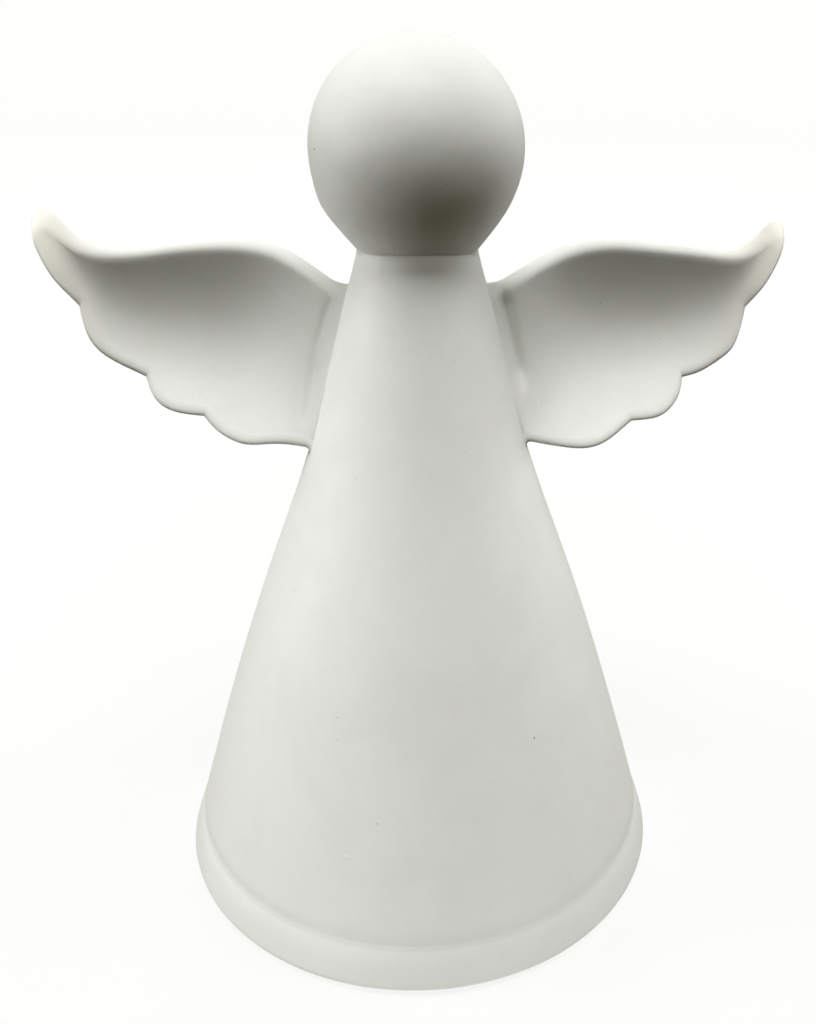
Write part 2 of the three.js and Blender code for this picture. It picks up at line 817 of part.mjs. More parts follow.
function switchSlider() {
  const bottom = discBottom + seatGap;
  const top = bottom + knobThickness;
  const knob = block(
    [switchOff - knobLength / 2, switchDistance - knobWidth / 2, bottom],
    [switchOff + knobLength / 2, switchDistance + knobWidth / 2, top],
  );
  const stem = block(
    [switchOff - stemLength / 2, switchDistance - stemWidth / 2, top - knobThickness / 2],
    [switchOff + stemLength / 2, switchDistance + stemWidth / 2, discTop + switchBodyHeight / 2 - seatGap],
  );
  const pitch = knobLength / (knobRidges + 1);
  const grooves = [];
  for (let i = 1; i <= knobRidges; i++) {
    const x = switchOff - knobLength / 2 + pitch * i;
    grooves.push(
      block(
        [x - knobRidgeWidth / 2, switchDistance - knobWidth, bottom - cutOver],
        [x + knobRidgeWidth / 2, switchDistance + knobWidth, bottom + knobRidgeHeight],
      ),
    );
  }
  return cutBy(joined(knob, stem), ...grooves);
}

const circuitBoard = () => upright(boardRadius, boardBottom, boardTop, ringFacets);

function lamp(number) {
  const [x, y] = onCircle(lampCircleRadius, 90 + (360 / lampCount) * (number - 1));
  const bottom = boardTop + seatGap;
  const shoulder = lampTop - lampRadius;
  const dome = [30, 60].map((degrees) => {
    const [out, up] = onCircle(lampRadius, degrees);
    return [out, shoulder + up];
  });
  const profile = [
    [0, bottom],
    [lampFlangeRadius, bottom],
    [lampFlangeRadius, bottom + lampFlangeHeight],
    [lampRadius, bottom + lampFlangeHeight],
    [lampRadius, shoulder],
    ...dome,
    [0, lampTop],
  ];
  return turned(profile, smallFacets).translate([x, y, 0]);
}

// A small resistor between two lamps, with its wire legs bent down to the board.
function resistor() {
  const y = -lampCircleRadius - lampRadius - resistorRadius;
  const height = boardTop + seatGap + resistorRadius;
  const halfBody = resistorLength / 2;
  const halfSpan = resistorLegSpan / 2;
  const body = lengthwise(resistorRadius, -halfBody, halfBody, smallFacets, y, height);
  const wire = lengthwise(resistorLegRadius, -halfSpan, halfSpan, wireFacets, y, height);
  const legs = [-halfSpan, halfSpan].map((x) =>
    upright(resistorLegRadius, boardTop + seatGap, height + resistorLegRadius, wireFacets, x, y),
  );
  return joined(body, wire, ...legs);
}

function lightDiffuser() {
  const lipTop = diffuserBottom + diffuserLipThickness;
  const dome = (radius, rise) => {
    const points = [];
    for (let i = 0; i <= domeSteps; i++) {
      const angle = ((i / domeSteps) * Math.PI) / 2;
      points.push([i === domeSteps ? 0 : radius * Math.cos(angle), lipTop + rise * Math.sin(angle)]);
    }
    return points;
  };
  const inside = dome(diffuserRadius - diffuserWall, diffuserRise - diffuserWall).reverse();
  return turned(
    [
      ...inside,
      [diffuserRadius - diffuserWall, diffuserBottom],
      [diffuserRadius + diffuserLip, diffuserBottom],
      [diffuserRadius + diffuserLip, lipTop],
      ...dome(diffuserRadius, diffuserRise),
    ],
    ringFacets,
  );
}

// A lead from one place to another, bowed upwards between its ends.
function lead(points) {
  const curve = new THREE.CatmullRomCurve3(points.map((point) => new THREE.Vector3(...point)));
  return tubeAlong(curve, leadRadius, wireFacets, leadSteps);
}

const overRoof = bayTop + leadRadius + seatGap;
const besideTail = contactThickness / 2 + seatGap + leadRadius;
const besideBay = bayHalfY + bayWall + seatGap + leadRadius;
const overSwitch = discTop + 2 * seatGap + switchBodyHeight + leadRadius;

function leadToSwitch() {
  const y = cellRow(cellCount);
  const end = switchBodyLength / 3;
  return lead([
    [contactPlane - besideTail, y, overRoof],
    [contactPlane - besideTail * 3, y + cellRadius / 2, overRoof + leadSag / 2],
    [bayHalfX / 2, besideBay - leadRadius, overRoof],
    [bayHalfX / 4, besideBay + leadRadius, (overRoof + overSwitch) / 2],
    [end, switchDistance, overSwitch],
  ]);
}

function leadFromSwitch() {
  const end = -switchBodyLength / 3;
  return lead([
    [end, switchDistance, overSwitch],
    [end - leadSag, besideBay + leadRadius, (overRoof + overSwitch) / 2],
    [end - leadSag, besideBay - 2 * leadRadius, overRoof + leadRadius],
    [end, boardRadius + seatGap + leadRadius, overRoof + leadSag / 2],
  ]);
}

function leadToBoard() {
  const y = cellRow(1);
  return lead([
    [-contactPlane + besideTail, y, overRoof],
    [-contactPlane + besideTail * 3, y, overRoof + leadSag / 2],
    [-boardRadius - leadSag - leadRadius, y / 2, overRoof],
    [-boardRadius - seatGap - leadRadius, 0, overRoof + leadSag / 2],
  ]);
}

// The assembly

const porcelain = { color: 0xe4e6df, roughness: 0.62, metalness: 0 };
const padSilicone = { color: 0xdfe3e4, roughness: 0.5, metalness: 0 };
const whitePlastic = { color: 0xeeeeea, roughness: 0.45, metalness: 0 };
const gripSilicone = { color: 0xcfd3d2, roughness: 0.65, metalness: 0 };
const frostedPlastic = { color: 0xf6f4ea, roughness: 0.55, metalness: 0 };
const boardLaminate = { color: 0x2f6b45, roughness: 0.5, metalness: 0.1 };
const lampResin = { color: 0xf4e9b8, roughness: 0.2, metalness: 0 };
const resistorPaint = { color: 0xc9ad7f, roughness: 0.5, metalness: 0 };
const darkPlastic = { color: 0x26282a, roughness: 0.5, metalness: 0 };
const cellSleeve = { color: 0x4c5a66, roughness: 0.35, metalness: 0.5 };
const platedSteel = { color: 0xc4c7c8, roughness: 0.3, metalness: 0.95 };
const redSleeve = { color: 0xb3261e, roughness: 0.55, metalness: 0 };
const blackSleeve = { color: 0x1d1e20, roughness: 0.55, metalness: 0 };
const whiteSleeve = { color: 0xd9d9d4, roughness: 0.55, metalness: 0 };

const angel = new THREE.Group();

function add(name, solid, finish) {
  const mesh = new THREE.Mesh(geometryOf(solid), new THREE.MeshStandardMaterial(finish));
  mesh.name = name;
  angel.add(mesh);
}

add("gown_shell", gownShell(), porcelain);
add("head_shell", headShell(), porcelain);
add("wing_right", wing(1), porcelain);
add("wing_left", wing(-1), porcelain);
for (let i = 1; i <= padCount; i++) {
  add(`foot_pad_${i}`, footPad(i), padSilicone);
}

add("module_base", moduleBase(), whitePlastic);
add("module_cover", moduleCover(), whitePlastic);
add("grip_ring", gripRing(), gripSilicone);
screwPlaces.forEach((place, i) => add(`cover_screw_${i + 1}`, coverScrew(place), platedSteel));
add("light_diffuser", lightDiffuser(), frostedPlastic);
add("circuit_board", circuitBoard(), boardLaminate);
for (let i = 1; i <= lampCount; i++) {
  add(`lamp_${i}`, lamp(i), lampResin);
}
add("resistor", resistor(), resistorPaint);

for (let i = 1; i <= cellCount; i++) {
  add(`battery_cell_${i}`, batteryCell(i), cellSleeve);
  add(`battery_spring_${i}`, batterySpring(i), platedSteel);
}
add("contact_minus", contactPlate(-1, [1], 1), platedSteel);
add("contact_bridge_right", contactPlate(1, [1, 2]), platedSteel);
add("contact_bridge_left", contactPlate(-1, [2, 3]), platedSteel);
add("contact_plus", contactPlate(1, [3], 3), platedSteel);

add("switch_body", switchBody(), darkPlastic);
add("lead_red", leadToSwitch(), redSleeve);
add("lead_white", leadFromSwitch(), whiteSleeve);
add("lead_black", leadToBoard(), blackSleeve);

add("hinge_pin", hingePin(), platedSteel);
add("battery_door", batteryDoor(), whitePlastic);
add("switch_slider", switchSlider(), darkPlastic);

export default angel;
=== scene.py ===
"""Light-up porcelain angel: a hollow bisque figure with a battery light module in its base.

Laid out as a Blender add-on and run as a script. Metres, +Z up, and the figure's front faces -Y.
"""

import math

import bmesh
import bpy
import numpy as np
from bpy.props import FloatProperty, FloatVectorProperty, IntProperty, PointerProperty
from mathutils import Matrix, Vector


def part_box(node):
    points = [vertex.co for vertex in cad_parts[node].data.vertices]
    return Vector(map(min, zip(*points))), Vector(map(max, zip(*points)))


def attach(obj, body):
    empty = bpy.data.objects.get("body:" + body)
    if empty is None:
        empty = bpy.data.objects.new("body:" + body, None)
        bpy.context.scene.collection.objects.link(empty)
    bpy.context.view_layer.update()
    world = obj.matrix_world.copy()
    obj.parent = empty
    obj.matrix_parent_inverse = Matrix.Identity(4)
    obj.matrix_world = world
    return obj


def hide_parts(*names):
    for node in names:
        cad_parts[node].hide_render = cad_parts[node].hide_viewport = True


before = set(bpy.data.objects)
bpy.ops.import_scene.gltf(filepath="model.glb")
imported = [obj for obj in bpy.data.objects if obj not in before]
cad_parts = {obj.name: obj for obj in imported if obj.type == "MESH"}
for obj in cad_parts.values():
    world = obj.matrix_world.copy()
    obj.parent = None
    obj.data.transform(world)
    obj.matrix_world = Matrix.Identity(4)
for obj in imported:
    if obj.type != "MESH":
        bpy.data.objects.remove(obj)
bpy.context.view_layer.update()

bl_info = {
    "name": "Light-up porcelain angel",
    "version": (1, 0, 0),
    "blender": (4, 5, 0),
    "location": "3D View > Sidebar > Angel",
    "description": "Dresses the packed angel in bisque, finishes its light module and sets a plain studio",
    "category": "Add Mesh",
}

MM = 0.001

gown_low, gown_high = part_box("gown_shell")
head_low, head_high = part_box("head_shell")
ring_low, ring_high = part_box("grip_ring")
dome_low, dome_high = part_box("light_diffuser")
flange_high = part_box("module_base")[1]
wing_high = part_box("wing_right")[1]

# Outlines, as shares of the sizes that they follow
GOWN_SHARES = [(1, 0), (0.768, 0.24), (0.505, 0.479), (0.273, 0.678), (0.131, 0.838), (0, 1)]
HEM_SHARES = [(0, 0.06), (0.24, 0.24), (0.56, 0.52), (0.82, 0.78)]
UPPER_EDGE_SHARES = {
    "wing_right": [
        (0, 0.6), (0.083, 0.668), (0.193, 0.755), (0.299, 0.83), (0.443, 0.868), (0.607, 0.855),
        (0.754, 0.839), (0.858, 0.844), (0.93, 0.932), (0.954, 0.968), (0.971, 0.975),
    ],
    "wing_left": [
        (0, 0.595), (0.085, 0.662), (0.192, 0.762), (0.298, 0.838), (0.443, 0.859), (0.607, 0.842),
        (0.754, 0.825), (0.854, 0.853), (0.923, 0.948), (0.954, 0.992), (0.975, 0.999),
    ],
}
FEATHER_SHARES = {
    "wing_right": [
        [
            (0.098, 0.085), (0.21, 0.04), (0.309, 0.015), (0.408, 0.015),
            (0.463, 0.041), (0.512, 0.081), (0.542, 0.108),
        ],
        [(0.542, 0.108), (0.583, 0.116), (0.634, 0.135), (0.678, 0.179), (0.705, 0.235), (0.713, 0.277)],
        [(0.713, 0.277), (0.763, 0.304), (0.812, 0.351), (0.855, 0.415), (0.879, 0.496), (0.895, 0.601)],
        [
            (0.895, 0.601), (0.925, 0.68), (0.952, 0.775), (0.972, 0.851),
            (0.982, 0.903), (0.984, 0.94), (0.981, 0.962), (0.971, 0.975),
        ],
    ],
    "wing_left": [
        [
            (0.098, 0.01), (0.213, 0.027), (0.309, 0.032), (0.407, 0.029),
            (0.459, 0.05), (0.506, 0.087), (0.537, 0.125),
        ],
        [(0.537, 0.125), (0.582, 0.134), (0.627, 0.149), (0.673, 0.181), (0.704, 0.234), (0.717, 0.278)],
        [(0.717, 0.278), (0.76, 0.312), (0.809, 0.359), (0.85, 0.42), (0.876, 0.497), (0.892, 0.602)],
        [
            (0.892, 0.602), (0.922, 0.682), (0.951, 0.774), (0.974, 0.857),
            (0.986, 0.908), (0.991, 0.95), (0.992, 0.982), (0.975, 0.999),
        ],
    ],
}

# Lines tooled in the slip beside each wing: start, end, width and depth, with x from the middle outwards
ROOT_LINES = {
    "wing_right": [((0.0159, 0.125), (0.0205, 0.1045), 0.0014, 0.0013)],
    "wing_left": [
        ((0.0165, 0.1225), (0.0202, 0.111), 0.0008, 0.0004),
        ((0.0199, 0.112), (0.022, 0.099), 0.0008, 0.0006),
    ],
}
# Iron specks that show on the front: place, size and strength. Then the places of two pin bumps
IRON_SPECKS = [
    ((-0.0171, -0.0078, 0.1521), 0.00024, 0.9), ((0.0046, -0.0181, 0.1485), 0.0002, 0.4),
    ((0.0216, -0.0311, 0.0466), 0.00027, 0.9), ((-0.0086, -0.0407, 0.0347), 0.0002, 0.45),
    ((-0.0028, -0.0374, 0.0476), 0.0002, 0.3), ((0.0064, -0.0139, 0.1169), 0.00018, 0.35),
]
PIN_BUMPS = [(-0.0145, -0.0414, 0.0272), (0.0164, -0.041, 0.0262)]


def length(name, description, default):
    """A length in metres, with the name and the tip that its field shows."""
    return FloatProperty(name=name, description=description, default=default, unit="LENGTH", precision=5)


def angle(name, description, degrees):
    """An angle, given in degrees, with the name and the tip that its field shows."""
    return FloatProperty(name=name, description=description, default=math.radians(degrees), subtype="ANGLE")


def share(name, description, default):
    """A plain share or number, with the name and the tip that its field shows."""
    return FloatProperty(name=name, description=description, default=default, precision=3)


def tint(name, description, default):
    """A linear colour, with the name and the tip that its field shows."""
    field = {"name": name, "description": description, "default": default}
    return FloatVectorProperty(**field, subtype="COLOR", size=3, min=0, max=1)


class PorcelainSizes(bpy.types.PropertyGroup):
    """Sizes of the gown and the head"""

    wall: length("Wall", "Thickness of the slip-cast wall", 3.2 * MM)
    neck_waist: length("Neck waist", "How far the neck is drawn in under the head", 0.28 * MM)
    neck_waist_reach: length("Neck waist reach", "How far down the neck that is felt", 6 * MM)
    neck_radius: length("Neck radius", "Radius of the gown's top", 10.8 * MM)
    neck_height: length("Neck height", "Table to the gown's top", gown_high.z)
    crease_radius: length("Crease radius", "Radius of the groove above the hem band", 48.9 * MM)
    crease_height: length("Crease height", "Table to the groove above the hem band", 10 * MM)
    groove_depth: length("Groove depth", "How far the side is drawn in above the hem band", 0.32 * MM)
    groove_reach: length("Groove reach", "How far up the side the drawing-in starts", 3.2 * MM)
    groove_rise: length("Groove rise", "Bottom of the groove above the crease height", 0.5 * MM)
    groove_rounding: length("Groove rounding", "Radius of the groove's hollow", 0.35 * MM)
    foot_radius: length("Foot radius", "Radius of the foot", gown_high.x)
    foot_height: length("Foot height", "Table to the porcelain's underside", gown_low.z)
    foot_rounding: length("Foot rounding", "Radius of the foot's lower edge", 0.9 * MM)
    edge_rounding: length("Edge rounding", "Radius of the sponged edges inside", 0.45 * MM)
    base_hole: length("Base hole", "Radius of the hole for the light module", ring_high.x + 0.3 * MM)
    rebate_radius: length("Rebate radius", "Radius of the rebate for the flange", flange_high.x + 0.4 * MM)
    rebate_depth: length("Rebate depth", "Depth of the rebate for the flange", 2 * MM)
    light_hole: length("Light hole", "Radius of the hole that lets light into the head", 6 * MM)
    head_radius: length("Head radius", "Radius of the ball", head_high.x)
    head_top: length("Head top", "Table to the top of the ball", head_high.z)
    head_rim: length("Head rim", "Table to the head's lower rim", head_low.z)
    head_overhang: length("Head overhang", "The head's lower rim beyond the gown's top", 1.6 * MM)
    head_side: share("Head side", "How far down the side stays upright", 0.5)
    head_settle: length("Head settle", "How far the rim settles at the left and the right", 2 * MM)
    head_settle_reach: length("Head settle reach", "How far above the rim that is felt", 7 * MM)
    head_sag: length("Head sag", "How far the lower head sags to its right hand side", 0.75 * MM)
    seam_slip: length("Seam slip", "Height of the slip fillet under the rim", 0.9 * MM)
    cast_waver: length("Cast waver", "How far the cast side wanders inwards", 0.11 * MM)


class WingSizes(bpy.types.PropertyGroup):
    """Sizes of the wings"""

    start: length("Start", "Middle of the figure to the outline's inner end", 9 * MM)
    reach: length("Reach", "Middle of the figure to the outermost feather", wing_high.x)
    low: length("Low", "Table to the lowest feather", 94.2 * MM)
    tip: length("Tip", "Table to the height of the tip", 138.5 * MM)
    thickness: length("Thickness", "Front to back", 4 * MM)
    backset: length("Backset", "How far behind the middle the upper edge starts", 8 * MM)
    bow: length("Bow", "How far the middle of the span bows back", 3.5 * MM)
    tip_forward: length("Tip forward", "How far the tip comes forward again", 1.5 * MM)
    drop: length("Drop", "Upper edge to lower edge where the wing is deepest", 42 * MM)
    taper: share("Taper", "How soon the dish grows shallow towards the tip", 0.6)
    lean: share("Lean", "Slope back under the upper edge", 0.55)
    turn: share("Turn", "How much the slope turns forward from the upper to the lower edge", 1.85)
    turn_power: share("Turn power", "How late it turns: 1 is evenly", 1.2)
    lip_round: length("Lip round", "How far the front of the upper edge is rounded away", 1.6 * MM)
    lip_depth: length("Lip depth", "How far down that rounding reaches", 3.1 * MM)
    luting_low: length("Lower luting", "Radius of the slip fillet at the root's lower end", 1.6 * MM)
    luting_high: length("Upper luting", "Radius of the slip fillet at the root's upper end", 4.2 * MM)
    luting_crotch: length("Crotch luting", "Radius of the fillet between neck and upper edge", 6.5 * MM)
    luting_foot: length("Foot luting", "Radius of the slip fillet under the lower edge", 0.8 * MM)
    luting_top: length("Luting top", "Table to the root's upper end", 124 * MM)
    root_sink: length("Root sink", "How deep the root is set into the gown's side", 1.6 * MM)
    root_run: length("Root run", "Over what length the root rises out of the gown's back", 4.5 * MM)
    ribs: IntProperty(name="Ribs", description="Sections along the span", default=230, min=40, max=400)


class ModuleSizes(bpy.types.PropertyGroup):
    """Sizes of the light module's pieces"""

    wall: length("Wall", "Wall of the cover", 1.4 * MM)
    dome_wall: length("Dome wall", "Wall of the frosted dome", 1.2 * MM)
    dome_lip: length("Dome lip", "The rim outside the dome", 1.6 * MM)
    dome_lip_height: length("Dome lip height", "Thickness of the rim", 1 * MM)
    grip_bead: length("Grip bead", "How far the ring's beads stand proud", 0.3 * MM)
    moulded_edge: length("Moulded edge", "Bevel on moulded edges", 0.22 * MM)
    nub_radius: length("Nub radius", "Radius of a cell's positive nub", 1.9 * MM)
    nub_length: length("Nub length", "Length of a cell's positive nub", 0.9 * MM)
    spring_wire: length("Spring wire", "Thickness of the spring's wire", 0.7 * MM)
    spring_turns: share("Spring turns", "Turns of a contact spring", 3.5)
    spring_taper: share("Spring taper", "How much narrower the spring is at its tip", 0.35)
    screw_shank: length("Screw shank", "Radius of a screw's shank", 1.1 * MM)
    screw_head: length("Screw head", "Height of a screw's head", 1.1 * MM)


class Colours(bpy.types.PropertyGroup):
    """Colours of the finishes"""

    bisque: tint("Bisque", "Bare fired porcelain", (0.84, 0.85, 0.817))
    bisque_shade: tint("Bisque shade", "Patches that fired a little darker", (0.79, 0.80, 0.762))
    # Painted light: the warmer white that stands in for light shining through the thin wing tips
    thin: tint("Thin tips", "Where the wings are thin and let light through", (0.91, 0.90, 0.825))
    speck: tint("Speck", "Iron specks in the porcelain", (0.09, 0.075, 0.055))
    moulding: tint("Moulding", "White plastic", (0.80, 0.80, 0.765))
    silicone: tint("Silicone", "Grip ring", (0.58, 0.60, 0.60))
    pad: tint("Pad", "Clear foot pads", (0.68, 0.71, 0.72))
    frosted: tint("Frosted", "Light dome", (0.90, 0.885, 0.82))
    sleeve: tint("Sleeve", "Battery sleeve", (0.028, 0.042, 0.062))
    band: tint("Band", "Battery sleeve's end band", (0.42, 0.17, 0.055))
    nickel: tint("Nickel", "Plated steel", (0.63, 0.62, 0.59))
    switch: tint("Switch", "Black switch plastic", (0.028, 0.029, 0.031))
    red_wire: tint("Red wire", "Sleeve of the red lead", (0.42, 0.018, 0.014))
    black_wire: tint("Black wire", "Sleeve of the black lead", (0.014, 0.014, 0.016))
    white_wire: tint("White wire", "Sleeve of the white lead", (0.66, 0.66, 0.63))


class StageSettings(bpy.types.PropertyGroup):
    """Camera, floor and lights"""

    focal: FloatProperty(name="Focal length", description="In pixels of the photograph's frame", default=1150)
    frame_width: FloatProperty(name="Frame width", description="Pixels across the photograph", default=816)
    frame_height: FloatProperty(name="Frame height", description="Pixels down the photograph", default=1024)
    centre_x: FloatProperty(name="Centre", description="Pixel column that the lens faces", default=486.54)
    distance: length("Distance", "Camera in front of the figure's middle", 206.98 * MM)
    height: length("Height", "Camera above the table", 187.17 * MM)
    aside: length("Aside", "Camera to the right of the middle", -0.871 * MM)
    pitch: angle("Pitch", "How far down it looks", 27.397)
    yaw: angle("Yaw", "How far right it looks", 3.997)
    roll: angle("Roll", "How far it is tilted", 1.307)
    floor: tint("Floor", "The table", (0.97, 0.97, 0.965))
    floor_glow: share("Floor glow", "Share of the floor's paleness that is its own glow", 0.85)
    floor_lit: share("Floor lit", "How much less it glows beside the figure, where the boxes light it", 0.17)
    backdrop: tint("Backdrop", "What the camera sees beyond the floor", (0.997, 0.997, 0.982))
    room: share("Room light", "Strength of the even light from all round the figure", 0.04)
    room_colour: tint("Room colour", "Colour of that light", (1.0, 0.91, 0.52))


# Surfaces

# Below these distances two points are one, and two faces this near to flat are one face
NEW_MERGE = 0.0005 * MM
COPY_MERGE = 0.001 * MM
FLAT_DEGREES = 0.5
BEVEL_DEGREES = 30
# A direction that no wire here follows, to square its circles by
ODD_DIRECTION = (0.137, 0.211, 0.968)


def spline(points, count):
    """A natural cubic through the points over their chord length: in each span the cubic whose second
    derivatives solve the usual tridiagonal system, read at count equal steps."""
    p = np.asarray(points, float)
    t = np.concatenate([[0], np.cumsum(np.linalg.norm(np.diff(p, axis=0), axis=1))])
    h = np.diff(t)
    n = len(t)
    system = np.eye(n)
    right = np.zeros_like(p)
    i = np.arange(1, n - 1)
    system[i, i - 1] = h[:-1]
    system[i, i] = 2 * (h[:-1] + h[1:])
    system[i, i + 1] = h[1:]
    slope = np.diff(p, axis=0) / h[:, None]
    right[1:-1] = 6 * np.diff(slope, axis=0)
    bend = np.linalg.solve(system, right)
    u = np.linspace(0, t[-1], count)
    k = np.clip(np.searchsorted(t, u, side="right") - 1, 0, n - 2)
    after = (u - t[k])[:, None]
    before = (t[k + 1] - u)[:, None]
    span = h[k][:, None]
    cubic = (bend[k] * before**3 + bend[k + 1] * after**3) / (6 * span)
    from_start = (p[k] / span - bend[k] * span / 6) * before
    return cubic + from_start + (p[k + 1] / span - bend[k + 1] * span / 6) * after


def lengths_along(curve):
    """Distance along a polyline at each of its points."""
    return np.concatenate([[0], np.cumsum(np.linalg.norm(np.diff(curve, axis=0), axis=1))])


def along(curve, shares):
    """Places at shares of a polyline's whole length, straight between its points."""
    run = lengths_along(curve)
    return np.stack([np.interp(shares * run[-1], run, column) for column in curve.T], -1)


def refined(outline, spacing, slack=0.01):
    """Cuts an outline's long stretches into even steps, no longer than the spacing and a little slack."""
    run = lengths_along(outline)
    stretch = np.diff(run)
    cuts = np.maximum(np.ceil(stretch / spacing - slack), 1).astype(int)
    first = np.repeat(np.arange(len(cuts)), cuts)
    step = np.arange(len(first)) - np.repeat(np.cumsum(cuts) - cuts, cuts)
    stops = np.append(run[first] + stretch[first] * step / cuts[first], run[-1])
    return along(outline, stops / run[-1])


def rounded(corners, steps=7):
    """An outline of (x, z, radius) corners. Each corner becomes the arc that touches both of its sides: the
    rational quadratic from one touching point to the other, weighted by the cosine of half the turn."""
    p = np.array([corner[:2] for corner in corners], float)
    parts = []
    for i, corner in enumerate(corners):
        radius = corner[2] if len(corner) > 2 else 0
        if not radius or i in (0, len(corners) - 1):
            parts.append(p[i : i + 1])
            continue
        into = (p[i] - p[i - 1]) / np.linalg.norm(p[i] - p[i - 1])
        out = (p[i + 1] - p[i]) / np.linalg.norm(p[i + 1] - p[i])
        half_turn = math.acos(float(np.clip(into @ out, -1, 1))) / 2
        reach = radius * math.tan(half_turn)
        t = np.linspace(0, 1, steps)[:, None]
        middle = 2 * math.cos(half_turn) * t * (1 - t)
        arc = (1 - t) ** 2 * (p[i] - into * reach) + middle * p[i] + t**2 * (p[i] + out * reach)
        parts.append(arc / ((1 - t) ** 2 + middle + t**2))
    return np.vstack(parts)


def circle(steps):
    """Even angles once round a circle."""
    return np.linspace(0, 2 * math.pi, steps, endpoint=False)


def quarter(steps):
    """Even angles over a quarter turn, as a column."""
    return np.linspace(0, math.pi / 2, steps)[:, None]


def shell(points, wrap_rows=False):
    """A closed skin over a grid of points, rows by columns, whose columns always wrap round. Its faces are
    turned outwards by the sign of the volume that they enclose."""
    rows, columns, _ = points.shape
    row = np.arange(rows if wrap_rows else rows - 1)[:, None]
    column = np.arange(columns)[None]
    next_row = (row + 1) % rows
    next_column = (column + 1) % columns
    corners = [row * columns + column, row * columns + next_column]
    corners += [next_row * columns + next_column, next_row * columns + column]
    faces = np.stack(corners, -1).reshape(-1, 4)
    flat = points.reshape(-1, 3)
    a, b, c, d = (flat[faces[:, i]] for i in range(4))
    volume = np.einsum("ij,ij->", a, np.cross(b, c)) + np.einsum("ij,ij->", a, np.cross(c, d))
    return flat, faces if volume > 0 else faces[:, ::-1]


def turned(outline, steps, centre=(0, 0), closed=False):
    """An outline of (radius, height) turned about an upright axis: x = r cos a, y = r sin a, z = h."""
    radius, height = outline[:, :1], outline[:, 1:]
    x = centre[0] + radius * np.cos(circle(steps))
    y = centre[1] + radius * np.sin(circle(steps))
    return shell(np.stack([x, y, height + 0 * x], -1), wrap_rows=closed)


def turned_lengthwise(outline, steps, y, z, direction=1):
    """An outline of (radius, distance) turned about a line along X: x = distance, and y and z go round."""
    radius, distance = outline[:, :1], outline[:, 1:] * direction
    round_y = y + radius * np.cos(circle(steps))
    round_z = z + radius * np.sin(circle(steps))
    return shell(np.stack([distance + 0 * round_y, round_y, round_z], -1))


def tube(path, radius, steps):
    """A round wire along a path: at each point a circle square to it, with both ends drawn to a point."""
    ahead = np.gradient(path, axis=0)
    ahead /= np.linalg.norm(ahead, axis=1)[:, None]
    first = np.cross(ahead, ODD_DIRECTION)
    first /= np.linalg.norm(first, axis=1)[:, None]
    second = np.cross(ahead, first)
    a = circle(steps)[None, :, None]
    rings = path[:, None] + radius * (np.cos(a) * first[:, None] + np.sin(a) * second[:, None])
    ends = [np.repeat(path[i][None, None], steps, 1) for i in (0, -1)]
    return shell(np.concatenate([ends[0], rings, ends[1]]))


def box_middle(node):
    """A node's lowest and highest corners, and the x, y and z half way between them."""
    low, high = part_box(node)
    return low, high, [(start + end) / 2 for start, end in zip(low, high)]


def new_piece(name, shells, body, material, replaces=(), sharp=None):
    """Joins shells into one mesh at the origin, closes their poles and seams, shades it smooth and gives it
    its body, its material and the nodes that it stands for."""
    starts = np.cumsum([0] + [len(points) for points, _ in shells])
    points = np.concatenate([part for part, _ in shells])
    faces = np.concatenate([part + start for (_, part), start in zip(shells, starts)])
    mesh = bpy.data.meshes.new(name)
    mesh.vertices.add(len(points))
    mesh.vertices.foreach_set("co", points.astype(np.float32).ravel())
    mesh.loops.add(faces.size)
    mesh.loops.foreach_set("vertex_index", faces.astype(np.int32).ravel())
    mesh.polygons.add(len(faces))
    mesh.polygons.foreach_set("loop_start", np.arange(0, faces.size, 4, dtype=np.int32))
    mesh.update(calc_edges=True)
    work = bmesh.new()
    work.from_mesh(mesh)
    bmesh.ops.remove_doubles(work, verts=work.verts, dist=NEW_MERGE)
    work.to_mesh(mesh)
    work.free()
    return placed(name, mesh, body, material, replaces, sharp)


def placed(name, mesh, body, material, replaces, sharp):
    """Shades a mesh, makes its object, hangs it on its body and hides the nodes that it stands for."""
    mesh.validate()
    mesh.polygons.foreach_set("use_smooth", np.ones(len(mesh.polygons), bool))
    if sharp:
        mesh.set_sharp_from_angle(angle=math.radians(sharp))
    mesh.materials.append(material)
    piece = bpy.data.objects.new(name, mesh)
    bpy.context.scene.collection.objects.link(piece)
    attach(piece, body)
    if replaces:
        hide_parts(*replaces)
    return piece


def moulded_copy(node, name, body, material, edge):
    """A node's own solid with its loose triangles joined, flat faces made whole and its edges rounded off."""
    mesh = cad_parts[node].data.copy()
    mesh.name = name
    mesh.materials.clear()
    work = bmesh.new()
    work.from_mesh(mesh)
    bmesh.ops.remove_doubles(work, verts=work.verts, dist=COPY_MERGE)
    flat = math.radians(FLAT_DEGREES)
    bmesh.ops.dissolve_limit(work, angle_limit=flat, verts=work.verts, edges=work.edges)
    work.to_mesh(mesh)
    work.free()
    piece = placed(name, mesh, body, material, (node,), None)
    bevel = piece.modifiers.new("Moulded edge", "BEVEL")
    bevel.width = edge
    bevel.segments = 2
    bevel.limit_method = "ANGLE"
    bevel.angle_limit = math.radians(BEVEL_DEGREES)
    bevel.use_clamp_overlap = True
    flats = piece.modifiers.new("Flat faces", "WEIGHTED_NORMAL")
    flats.mode = "FACE_AREA"
    flats.weight = 100
    flats.keep_sharp = True
    return piece


# Finishes


def new_group(name, inputs, outputs):
    """A shader group with its sockets: inputs as (name, kind, default) and outputs as (name, kind)."""
    tree = bpy.data.node_groups.new(name, "ShaderNodeTree")
    for label, kind, default in inputs:
        socket = tree.interface.new_socket(label, in_out="INPUT", socket_type=kind)
        if default is not None:
            socket.default_value = default
    for label, kind in outputs:
        tree.interface.new_socket(label, in_out="OUTPUT", socket_type=kind)
    return Wiring(tree), tree.nodes.new("NodeGroupInput").outputs, tree.nodes.new("NodeGroupOutput").inputs


